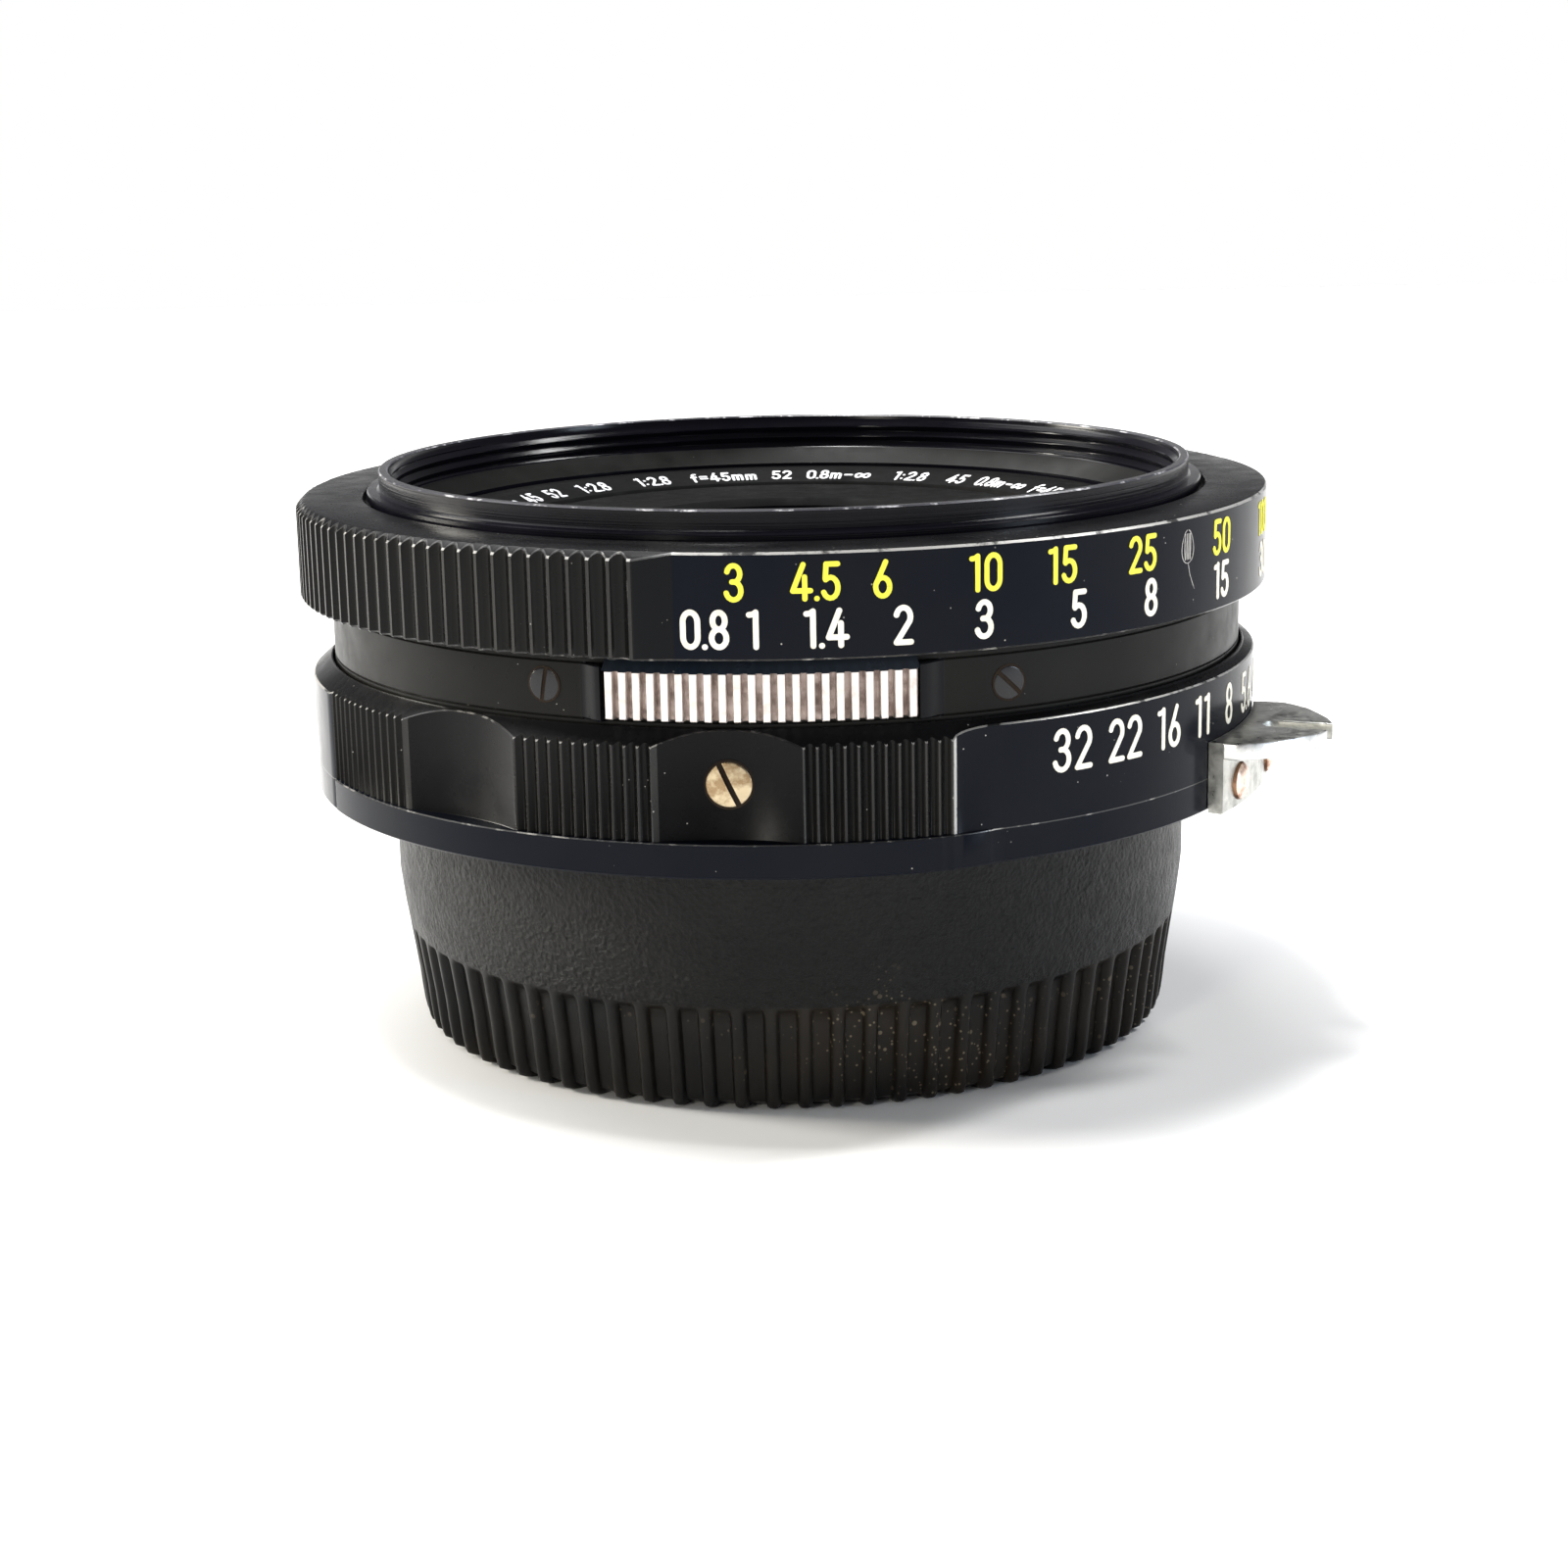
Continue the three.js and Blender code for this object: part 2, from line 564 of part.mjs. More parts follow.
// ---------------------------------------------------------------- coupling fork
function couplingFork() {
  const ends = [FORK_AZIMUTH - FORK_HALF_ANGLE, FORK_AZIMUTH + FORK_HALF_ANGLE];
  const steps = 12;
  const halfWidth = FORK_FOOT[1] * Math.sin(degToRad(FORK_HALF_ANGLE));
  const turn = Math.asin(halfWidth / FORK_PLATE_RADIUS);
  const disc = new THREE.Shape();
  disc.moveTo(FORK_FOOT[0] + 0.2, -halfWidth);
  for (let i = 0; i <= steps; i += 1) {
    const angle = turn * ((2 * i) / steps - 1);
    disc.lineTo(
      FORK_PLATE_CENTRE + FORK_PLATE_RADIUS * Math.cos(angle), FORK_PLATE_RADIUS * Math.sin(angle));
  }
  disc.lineTo(FORK_FOOT[0] + 0.2, halfWidth);
  const root = sector(FORK_FOOT[0], FORK_FOOT[1], ends, FORK_PLATE);
  const behind = sector(FORK_FOOT[0] - 5, FORK_FOOT[0], [ends[0] - 8, ends[1] + 8], [19, 22]);
  const plate = join([cut(towards(raised(disc, FORK_PLATE), FORK_AZIMUTH), [behind]), root]);
  const foot = sector(...FORK_FOOT, ends, [FORK_FOOT_BOTTOM, FORK_PLATE[1] - 0.4]);
  const half = FORK_SLOT_WIDTH / 2;
  const slotEnd = rod(half, [19, 22], 12).translate(FORK_SLOT_END + half, 0, 0);
  const slot = block([FORK_SLOT_END + half, 40], [-half, half], [19, 22], FORK_AZIMUTH);
  const holes = FORK_RIVET_AZIMUTHS.map((azimuth) => (
    outwards(rod(0.8, [29, 33]), azimuth, FORK_RIVET_HEIGHT)));
  return cut(join([plate, foot]), [slot, towards(slotEnd, FORK_AZIMUTH), ...holes]);
}
addPart('coupling_fork', couplingFork(), 'grey_alloy');

FORK_RIVET_AZIMUTHS.forEach((azimuth, i) => {
  const face = FORK_FOOT[1] + 0.05;
  const rivet = turned([
    [0, 29.3], [0.6, 29.3], [0.6, face], [FORK_RIVET_RADIUS, face],
    [FORK_RIVET_RADIUS - 0.15, face + 0.25], [0, face + 0.4],
  ], SCREW_SEGMENTS);
  addPart(`fork_rivet_${i + 1}`, outwards(rivet, azimuth, FORK_RIVET_HEIGHT), 'copper');
});

// ---------------------------------------------------------------- focus ring and its helicoid
function focusRing() {
  const [first, second] = FOCUS_KNURLS;
  const ridges = (ends) => knurl(ends, FOCUS_KNURL_PITCH, FOCUS_KNURL_RADIUS, FOCUS_KNURL_DEPTH);
  const outline = [
    ...ridges(first), ...arc(FOCUS_BAND_RADIUS, first[1] + FOCUS_RAMP, second[0] - FOCUS_RAMP, 12),
    ...ridges(second), ...arc(FOCUS_BAND_RADIUS, second[1] + FOCUS_RAMP, first[0] + 360 - FOCUS_RAMP, 9),
  ];
  const envelope = turned([
    [24, FOCUS_BOTTOM], [32.1, FOCUS_BOTTOM], [32.1, 34.75], [31.55, FOCUS_TOP], [24, FOCUS_TOP],
  ], RING_SEGMENTS);
  const recess = HELICOID_FLANGE_RADIUS + 0.25;
  const bore = turned([
    [0, FOCUS_BOTTOM - CUT_PAST], [recess, FOCUS_BOTTOM - CUT_PAST], [recess, HELICOID_FLANGE[1] + 0.1],
    [FOCUS_BORE_RADIUS, HELICOID_FLANGE[1] + 0.1], [FOCUS_BORE_RADIUS, 34.6], [27.7, 34.6],
    [27.7, FOCUS_TOP + CUT_PAST], [0, FOCUS_TOP + CUT_PAST],
  ], RING_SEGMENTS);
  const holes = FOCUS_SCREW_AZIMUTHS.map((azimuth) => at(rod(0.7, [30, 33]), FOCUS_SCREW_CIRCLE, azimuth));
  return cut(common(prism(outline, [FOCUS_BOTTOM, FOCUS_TOP]), envelope), [bore, ...holes]);
}
addPart('focus_ring', focusRing(), 'black_anodised');

function focusHelicoid() {
  const body = turned([
    [HELICOID_BORE, HELICOID_BOTTOM], [HELICOID_RADIUS, HELICOID_BOTTOM],
    [HELICOID_RADIUS, HELICOID_FLANGE[0]], [HELICOID_FLANGE_RADIUS, HELICOID_FLANGE[0]],
    [HELICOID_FLANGE_RADIUS, HELICOID_FLANGE[1]], [HELICOID_RADIUS, HELICOID_FLANGE[1]],
    [HELICOID_RADIUS, HELICOID_TOP], [HELICOID_BORE, HELICOID_TOP],
  ], RING_SEGMENTS);
  const holes = FOCUS_SCREW_AZIMUTHS.flatMap((azimuth) => [
    at(rod(0.7, [29, 31]), FOCUS_SCREW_CIRCLE, azimuth),
    at(rod(0.98, [28, 29.85]), FOCUS_SCREW_CIRCLE, azimuth),
  ]);
  return cut(body, holes);
}
addPart('focus_helicoid', focusHelicoid(), 'brass');

FOCUS_SCREW_AZIMUTHS.forEach((azimuth, i) => {
  const screw = slottedScrew({
    headRadius: 0.8, headHeight: 0.5, shankRadius: 0.45, length: 3.3, slotTurn: 20 * i,
  });
  screw.rotateX(Math.PI);
  screw.translate(0, 0, HELICOID_FLANGE[0] + 0.05);
  addPart(`focus_ring_screw_${i + 1}`, at(screw, FOCUS_SCREW_CIRCLE, azimuth), 'nickel_steel');
});

// ---------------------------------------------------------------- lens unit
function lensBarrel() {
  const halfWidth = KEY_WIDTH / 2 + RUNNING_GAP;
  const keyways = KEY_AZIMUTHS.map((azimuth) => (
    block([21, 26], [-halfWidth, halfWidth], [LENS_BARREL_BOTTOM - CUT_PAST, KEYWAY_TOP], azimuth)));
  const heights = [LENS_BARREL_BOTTOM, LENS_BARREL_TOP];
  return cut(tube(LENS_BARREL_BORE, LENS_BARREL_RADIUS, heights, RING_SEGMENTS), keyways);
}
addPart('lens_barrel', lensBarrel(), 'brass');

addPart('filter_ring', turned([
  [24.0, 31.5], [24.9, 31.5], [24.9, 33.5], [26.4, 33.5], [26.4, 34.95], [27.4, 34.95], [27.4, 35.6],
  [26.6, 35.8], [26.6, 36.85], [26.0, 36.85], [25.75, 36.2], [25.6, 34.75], [24.0, 33.5],
], RING_SEGMENTS), 'black_anodised');

addPart('name_ring', turned([
  [18.6, 31.8], [23.7, 31.8], [23.7, 33.3], [21.3, 33.4], [19.0, 32.7],
], RING_SEGMENTS), 'matt_black');

addPart('front_cell', turned([
  [9.2, 26.6], [12.6, 26.6], [12.6, 29.4], [22.2, 29.4], [22.2, 30.6], [18.3, 30.6], [18.3, 32.6],
  [10.6, 32.6], [10.1, 31.3], [10.9, 31.2], [10.9, 27.0], [9.2, 27.0],
]), 'matt_black');

addPart('front_element', element(FRONT_GLASS_RADIUS, [29.1, 29.3], [30.7, 32.2]), 'coated_glass');
addPart('element_spacer', tube(9.6, 10.5, [28.6, 29.05], GLASS_SEGMENTS), 'matt_black');
addPart('second_element', element(FRONT_GLASS_RADIUS, [27.1, 27.5], [28.5, 28.1]), 'coated_glass');

addPart('rear_cell', turned([
  [8.9, 16.9], [11.0, 16.9], [11.0, 20.6], [22.2, 20.6], [22.2, 21.6], [8.0, 21.6], [8.0, 21.2],
  [8.9, 21.2],
]), 'matt_black');
addPart('rear_doublet_front', element(REAR_GLASS_RADIUS, [18.75, 20.25], [21.1, 20.75]), 'coated_glass');
addPart('rear_doublet_back', element(REAR_GLASS_RADIUS, [18.1, 17.3], [18.7, 20.2]), 'coated_glass');
addPart('rear_retaining_ring', tube(7.8, 8.6, [17.0, 17.7], GLASS_SEGMENTS), 'matt_black');

// ---------------------------------------------------------------- iris
const bladeStep = 360 / BLADE_COUNT;

function bladeHeights(index) {
  const bottom = BLADE_STACK_BOTTOM + index * BLADE_SPACING;
  return [bottom, bottom + BLADE_THICKNESS];
}

function diaphragmHousing() {
  const cup = turned([
    [8.4, 22.6], [22.2, 22.6], [22.2, 23.6], [19.0, 23.6], [19.0, 26.4], [17.4, 26.4], [17.4, 23.1],
    [8.4, 23.1],
  ]);
  const posts = [];
  for (let i = 0; i < BLADE_COUNT; i += 1) {
    const post = rod(BLADE_PIVOT_RADIUS, [22.9, bladeHeights(i)[1] + 0.05], 6);
    posts.push(at(post, BLADE_PIVOT_CIRCLE, BLADE_PIVOT_AZIMUTH + i * bladeStep));
  }
  return join([cup, ...posts]);
}
addPart('diaphragm_housing', diaphragmHousing(), 'matt_black');

// Where a blade's drive pin stands, seen from the drive ring, part way through the closing turn.
function pinInDriveRing(share) {
  const pivot = new THREE.Vector2(...around(BLADE_PIVOT_CIRCLE, BLADE_PIVOT_AZIMUTH));
  const pin = new THREE.Vector2(...around(BLADE_PIVOT_CIRCLE, BLADE_PIN_AZIMUTH));
  pin.rotateAround(pivot, degToRad(share * BLADE_TURN));
  return pin.rotateAround(new THREE.Vector2(), degToRad(-share * DRIVE_TURN));
}

// The slot that the pin's path leaves in the drive ring, as one flat outline round the path.
function driveSlot() {
  const halfWidth = BLADE_PIN_RADIUS + 0.25;
  const start = pinInDriveRing(0);
  const end = pinInDriveRing(1);
  const along = end.clone().sub(start).normalize();
  const aside = new THREE.Vector2(-along.y, along.x).multiplyScalar(halfWidth);
  const shares = [0, 0.25, 0.5, 0.75, 1];
  const path = shares.map(pinInDriveRing);
  path[0].addScaledVector(along, -halfWidth);
  path[shares.length - 1].addScaledVector(along, halfWidth);
  const near = path.map((point) => point.clone().add(aside));
  const far = path.map((point) => point.clone().sub(aside)).reverse();
  return new THREE.Shape([...near, ...far]);
}

function irisDriveRing() {
  const slots = [];
  for (let i = 0; i < BLADE_COUNT; i += 1) {
    const slot = raised(driveSlot(), [DRIVE_RING[0] - CUT_PAST, DRIVE_RING[1] + CUT_PAST]);
    slots.push(slot.rotateZ(degToRad(i * bladeStep)));
  }
  return cut(tube(11.6, 17.1, DRIVE_RING), slots);
}
addPart('iris_drive_ring', irisDriveRing(), 'brass');

function irisBlade(index) {
  const [bottom, top] = bladeHeights(index);
  const steps = 8;
  const crescent = prism([
    ...arc(BLADE_OUTER, BLADE_START, BLADE_SPAN - 8, steps), [11.0, BLADE_SPAN],
    ...arc(BLADE_INNER, BLADE_SPAN, BLADE_START, steps),
  ], [bottom, top]);
  const root = sector(BLADE_OUTER - 0.6, BLADE_ROOT_RADIUS, [BLADE_START, 15.5], [bottom, top]);
  const hole = at(rod(BLADE_PIVOT_RADIUS + 0.2, [bottom - CUT_PAST, top + CUT_PAST], 6),
    BLADE_PIVOT_CIRCLE, BLADE_PIVOT_AZIMUTH);
  const pinHeights = [bottom, DRIVE_RING[1] - 0.1];
  const pin = at(rod(BLADE_PIN_RADIUS, pinHeights, 6), BLADE_PIVOT_CIRCLE, BLADE_PIN_AZIMUTH);
  const blade = join([cut(join([crescent, root]), [hole]), pin]);
  return blade.rotateZ(degToRad(index * bladeStep));
}

for (let i = 0; i < BLADE_COUNT; i += 1) {
  addPart(`iris_blade_${i + 1}`, irisBlade(i), 'blackened_steel');
}

export default lens;
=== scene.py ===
"""Looks of a short camera lens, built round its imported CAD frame. Shapes are written in millimetres and
degrees and stored in metres. Azimuth 0 is the side towards the camera and grows towards +X."""
import math

import bmesh
import bpy
from mathutils import Matrix, Vector


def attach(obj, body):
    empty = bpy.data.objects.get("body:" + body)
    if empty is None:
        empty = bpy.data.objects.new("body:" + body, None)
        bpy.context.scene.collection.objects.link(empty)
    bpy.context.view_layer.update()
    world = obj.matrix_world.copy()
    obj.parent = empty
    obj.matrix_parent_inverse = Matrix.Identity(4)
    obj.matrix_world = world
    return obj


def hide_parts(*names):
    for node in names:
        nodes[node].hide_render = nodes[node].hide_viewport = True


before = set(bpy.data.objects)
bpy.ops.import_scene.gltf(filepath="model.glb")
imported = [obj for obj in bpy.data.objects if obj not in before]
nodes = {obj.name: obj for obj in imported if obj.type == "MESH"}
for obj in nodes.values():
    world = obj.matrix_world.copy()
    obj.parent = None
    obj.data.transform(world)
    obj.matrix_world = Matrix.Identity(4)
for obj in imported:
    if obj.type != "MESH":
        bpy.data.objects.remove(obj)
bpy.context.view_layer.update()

MM = 0.001

# ------------------------------------------------------------------ driving dimensions
CAP_RIBS = 80
CAP_TOP = 15.7
CAP_FLOOR = 2.4
CAP_BORE = 24.2

APERTURE_LANDS = [(-66.0, -47.5), (-30.5, -14.5), (1.5, 17.3)]
APERTURE_KNURL_PITCH = 1.5
APERTURE_LAND_RADIUS = 31.4
APERTURE_FLUTE_RADIUS = 30.35
APERTURE_BAND_RADIUS = 31.0
APERTURE_BACK_BAND_RADIUS = 31.45
APERTURE_BAND_START = 22.3
APERTURE_RIM_RADIUS = 31.5
APERTURE_BOTTOM = 16.35
APERTURE_RIM_TOP = 18.4
APERTURE_CONE_BOTTOM = 23.95
APERTURE_TOP = 24.9
APERTURE_BAND_EDGE = 24.55

FOCUS_KNURLS = [(-96.0, -16.0), (108.5, 176.0)]
FOCUS_PITCH = 2.25
FOCUS_KNURL_RADIUS = 32.0
FOCUS_BAND_RADIUS = 31.65
FOCUS_RAMP = 4.5
FOCUS_BOTTOM = 29.05
FOCUS_TOP = 35.2

BARREL_RADIUS = 30.0
BARREL_TOP = 28.75
GRIP_CENTRES = [-3.0, 177.0]
GRIP_HALF_ANGLE = 17.0
GRIP_PITCH = 1.52
GRIP_RADIUS = 31.0
GRIP_ROOT = 30.5
GRIP_HEIGHTS = (25.4, 28.2)
BARREL_SCREWS = [(-27.9, 27.0, 80), (25.1, 26.7, 137), (152.1, 27.0, 10), (205.1, 26.7, 65)]
APERTURE_SCREW = (-6.5, 21.69, 115)

FORK_AZIMUTH = 68.4
FORK_HALF_ANGLE = 12.0
FORK_FOOT = (31.2, 32.05)
FORK_FOOT_BOTTOM = 16.2
FORK_PLATE = (19.65, 20.7)
FORK_RIVETS = [61.3, 75.5]
FORK_RIVET_HEIGHT = 17.8

FEET_ROW = [("3", -5.2), ("4.5", 3.0), ("6", 9.8), ("10", 20.8), ("15", 29.9), ("25", 41.1), ("50", 56.5),
            ("100", 72.8)]
METRE_ROW = [("0.8", -8.3), ("1", -3.35), ("1.4", 4.0), ("2", 11.9), ("3", 20.65), ("5", 32.0),
             ("8", 42.45), ("15", 56.55), ("30", 73.3), ("~", 86.0)]
STOP_ROW = [("32", 32.4), ("22", 40.1), ("16", 47.7), ("11", 55.05), ("8", 62.75), ("5.6", 71.0),
            ("4", 78.4), ("2.8", 86.0)]


# ------------------------------------------------------------------ materials
class Nodes:
    """A small helper that adds shader nodes and links them by name."""

    def __init__(self, name):
        self.material = bpy.data.materials.new(name)
        self.material.use_nodes = True
        self.tree = self.material.node_tree
        self.shader = self.tree.nodes["Principled BSDF"]
        self.coordinates = self.add("ShaderNodeTexCoord").outputs["Object"]

    def add(self, kind, **settings):
        node = self.tree.nodes.new(kind)
        for key, value in settings.items():
            setattr(node, key, value)
        return node

    def link(self, output, socket):
        self.tree.links.new(output, socket)

    def scaled(self, scale):
        """Object coordinates in units of 1/scale millimetres."""
        mapping = self.add("ShaderNodeMapping")
        self.link(self.coordinates, mapping.inputs["Vector"])
        factors = scale if isinstance(scale, tuple) else (scale, scale, scale)
        mapping.inputs["Scale"].default_value = [factor / MM for factor in factors]
        return mapping.outputs["Vector"]

    def noise(self, scale, detail=4.0, rough=0.55):
        node = self.add("ShaderNodeTexNoise")
        self.link(self.scaled(scale), node.inputs["Vector"])
        node.inputs["Scale"].default_value = 1.0
        node.inputs["Detail"].default_value = detail
        node.inputs["Roughness"].default_value = rough
        return node.outputs["Fac"]

    def cells(self, scale):
        node = self.add("ShaderNodeTexVoronoi")
        self.link(self.scaled(scale), node.inputs["Vector"])
        node.inputs["Scale"].default_value = 1.0
        return node.outputs["Distance"]

    def ramp(self, source, stops):
        node = self.add("ShaderNodeValToRGB")
        self.link(source, node.inputs["Fac"])
        elements = node.color_ramp.elements
        while len(elements) < len(stops):
            elements.new(0.5)
        for element, (position, colour) in zip(elements, stops):
            element.position = position
            element.color = (*colour, 1.0) if isinstance(colour, tuple) else (colour, colour, colour, 1.0)
        return node.outputs["Color"]

    def mixed(self, factor, first, second):
        node = self.add("ShaderNodeMix", data_type="RGBA")
        self.link(factor, node.inputs["Factor"])
        for value, socket in ((first, node.inputs[6]), (second, node.inputs[7])):
            if isinstance(value, tuple):
                socket.default_value = (*value, 1.0)
            else:
                self.link(value, socket)
        return node.outputs[2]

    def bump(self, source, height, strength=1.0):
        node = self.add("ShaderNodeBump")
        node.inputs["Strength"].default_value = strength
        node.inputs["Distance"].default_value = height * MM
        self.link(source, node.inputs["Height"])
        previous = self.shader.inputs["Normal"].links
        if previous:
            self.link(previous[0].from_socket, node.inputs["Normal"])
        self.link(node.outputs["Normal"], self.shader.inputs["Normal"])

    def set(self, **values):
        for key, value in values.items():
            self.shader.inputs[key.replace("_", " ")].default_value = value


def anodised(name, dark, light, rough, specular=0.5, fleck=0.0, turned=0.0):
    """Black anodised alloy: two close tones, uneven gloss, fine grain, wear flecks and turning lines."""
    look = Nodes(name)
    cloud = look.noise(0.09, 3.0)
    colour = look.mixed(look.ramp(cloud, [(0.35, 0.0), (0.7, 1.0)]), dark, light)
    if fleck:
        spots = look.ramp(look.cells(1.5), [(0.0, 1.0), (fleck, 1.0), (fleck + 0.02, 0.0)])
        patches = look.ramp(look.noise(0.35, 2.0), [(0.56, 0.0), (0.62, 1.0)])
        both = look.mixed(patches, (0.0, 0.0, 0.0), spots)
        colour = look.mixed(both, colour, (0.42, 0.40, 0.37))
    look.link(colour, look.shader.inputs["Base Color"])
    gloss = look.ramp(look.noise(0.5, 5.0), [(0.3, rough * 0.8), (0.7, min(1.0, rough * 1.25))])
    look.link(gloss, look.shader.inputs["Roughness"])
    look.bump(look.noise(9.0, 3.0), 0.004, 0.5)
    if turned:
        look.bump(look.noise((0.02, 0.02, 14.0), 2.0), 0.01 * turned, 0.6)
    look.set(Metallic=0.0, Specular_IOR_Level=specular, Coat_Weight=0.0, Coat_Roughness=0.12)
    return look.material


def metal(name, base, stain, rough, stain_share=0.5, grain=(3.0, 3.0, 3.0), metallic=1.0):
    """Bare metal with stains, fine scratches and uneven polish."""
    look = Nodes(name)
    low = 0.62 - 0.3 * stain_share
    cloud = look.ramp(look.noise(0.9, 6.0, 0.65), [(low, 0.0), (low + 0.16, 1.0)])
    look.link(look.mixed(cloud, base, stain), look.shader.inputs["Base Color"])
    gloss = look.ramp(look.noise(1.6, 5.0), [(0.3, rough * 0.7), (0.7, min(1.0, rough * 1.5))])
    look.link(gloss, look.shader.inputs["Roughness"])
    look.bump(look.noise(grain, 4.0), 0.01, 0.5)
    look.set(Metallic=metallic)
    return look.material


def paint(name, colour, worn):
    """Filled lettering paint, slightly uneven in colour."""
    look = Nodes(name)
    cloud = look.ramp(look.noise(1.2, 4.0), [(0.4, 0.0), (0.75, 1.0)])
    look.link(look.mixed(cloud, colour, worn), look.shader.inputs["Base Color"])
    gloss = look.ramp(look.noise(3.0, 3.0), [(0.3, 0.45), (0.7, 0.65)])
    look.link(gloss, look.shader.inputs["Roughness"])
    look.bump(look.noise(6.0, 3.0), 0.006, 0.6)
    return look.material


def worn_highlit_edge(name, black, bright, share):
    """A chamfer whose black finish shows bright metal in patches: partly real wear through the black,
    partly a painted highlight along the edge line.
    """
    look = Nodes(name)
    wear_and_glint = look.ramp(look.noise(0.55, 7.0, 0.7), [(0.62 - 0.35 * share, 0.0), (0.7 - 0.35 * share, 1.0)])
    look.link(look.mixed(wear_and_glint, black, bright), look.shader.inputs["Base Color"])
    look.link(look.ramp(wear_and_glint, [(0.0, 0.28), (1.0, 0.34)]), look.shader.inputs["Roughness"])
    look.link(look.ramp(wear_and_glint, [(0.0, 0.0), (1.0, 0.35)]), look.shader.inputs["Metallic"])
    look.bump(look.noise(5.0, 3.0), 0.01, 0.5)
    return look.material


def cap_plastic(name, ribbed):
    """Moulded black plastic: leather grain above, ribs below with settled dust and a brown cast."""
    look = Nodes(name)
    cloud = look.ramp(look.noise(0.12, 3.0), [(0.4, 0.0), (0.7, 1.0)])
    brown = (0.013, 0.010, 0.007) if ribbed else (0.0065, 0.0065, 0.006)
    colour = look.mixed(cloud, (0.004, 0.004, 0.004), brown)
    grit = look.ramp(look.cells(2.4), [(0.0, 1.0), (0.16, 1.0), (0.2, 0.0)])
    crumbs = look.ramp(look.cells(0.8), [(0.0, 1.0), (0.11, 1.0), (0.14, 0.0)])
    low, high = (0.5, 0.62) if ribbed else (0.66, 0.76)
    settled = look.ramp(look.noise(0.11, 4.0), [(low, 0.0), (high, 1.0)])
    dusty = look.mixed(settled, (0.0, 0.0, 0.0), look.mixed(crumbs, grit, (1.0, 1.0, 1.0)))
    look.link(look.mixed(dusty, colour, (0.11, 0.09, 0.06)), look.shader.inputs["Base Color"])
    gloss = look.ramp(look.noise(0.8, 4.0), [(0.3, 0.30), (0.7, 0.44)])
    look.link(gloss, look.shader.inputs["Roughness"])
    if ribbed:
        look.bump(look.noise(2.5, 4.0), 0.03, 0.6)
    else:
        look.bump(look.noise(2.0, 7.0, 0.65), 0.30, 1.0)
        look.bump(look.cells(3.0), 0.10, 0.8)
    look.set(Specular_IOR_Level=0.17)
    return look.material


def glass(name, tint, reflection):
    """A coated glass element: dark from outside, glossy, with a coloured coating reflection."""
    look = Nodes(name)
    facing = look.add("ShaderNodeLayerWeight").outputs["Facing"]
    look.link(look.mixed(facing, tint, reflection), look.shader.inputs["Base Color"])
    look.link(look.ramp(look.noise(0.4, 3.0), [(0.4, 0.02), (0.7, 0.05)]), look.shader.inputs["Roughness"])
    look.set(IOR=1.7, Specular_IOR_Level=0.8, Coat_Weight=0.6, Coat_Roughness=0.03,
             Coat_Tint=(0.7, 0.55, 1.0, 1.0))
    return look.material


BLACK = anodised("satin_black", (0.004, 0.004, 0.0045), (0.007, 0.007, 0.0075), 0.26,
                 specular=0.08, fleck=0.05, turned=0.4)
KNURL_BLACK = anodised("knurl_black", (0.005, 0.005, 0.005), (0.008, 0.0078, 0.0075), 0.24,
                       specular=0.10, fleck=0.04)
BAND_BLACK = anodised("band_black", (0.003, 0.0045, 0.009), (0.006, 0.007, 0.010), 0.17,
                      specular=0.06, fleck=0.06)
BARREL_BLACK = anodised("barrel_black", (0.006, 0.006, 0.0055), (0.010, 0.0098, 0.0088), 0.34,
                        specular=0.08, fleck=0.03, turned=0.6)
FRONT_BLACK = anodised("front_black", (0.003, 0.003, 0.005), (0.006, 0.0055, 0.009), 0.16,
                       specular=0.14, turned=1.4)
MATT = anodised("matt_black", (0.003, 0.003, 0.003), (0.006, 0.006, 0.006), 0.6, specular=0.05)
# A lighter copy of the knurl black for ridge tops and land ends: a painted highlight along each ridge.
RIDGE_HIGHLIGHT = anodised("ridge_tops_highlight", (0.012, 0.012, 0.0115), (0.03, 0.028, 0.026), 0.28,
                 specular=0.28, fleck=0.06)
GLOSS = anodised("gloss_black", (0.0035, 0.004, 0.005), (0.006, 0.006, 0.007), 0.14,
                 specular=0.08, fleck=0.03)
LEDGE = anodised("grip_ledge", (0.012, 0.018, 0.028), (0.03, 0.036, 0.045), 0.3,
                 specular=0.25, fleck=0.08)
# The three edge finishes put bright metal on chamfers: partly real wear, partly painted highlight lines
# along the edges.
EDGE = worn_highlit_edge("worn_highlit_edge", (0.02, 0.02, 0.02), (0.42, 0.41, 0.39), 0.65)
EDGE_FAINT = worn_highlit_edge("faint_edge", (0.014, 0.014, 0.014), (0.30, 0.29, 0.27), 0.2)
EDGE_FRONT = worn_highlit_edge("front_edge", (0.04, 0.04, 0.05), (0.55, 0.54, 0.56), 0.25)
CREAM = paint("cream_paint", (0.95, 0.91, 0.78), (0.80, 0.74, 0.60))
YELLOW = paint("yellow_paint", (0.93, 0.88, 0.05), (0.80, 0.72, 0.05))
WHITE = paint("white_paint", (0.9, 0.9, 0.92), (0.7, 0.7, 0.73))
GRIP = metal("grip_lands", (0.74, 0.69, 0.66), (0.60, 0.54, 0.50), 0.36, 0.4)
GRIP_GROOVE = metal("grip_grooves", (0.38, 0.31, 0.28), (0.20, 0.15, 0.13), 0.5, 0.6)
FORK = metal("fork_alloy", (0.45, 0.45, 0.42), (0.29, 0.29, 0.27), 0.34, 0.5, (0.6, 7.0, 3.0))
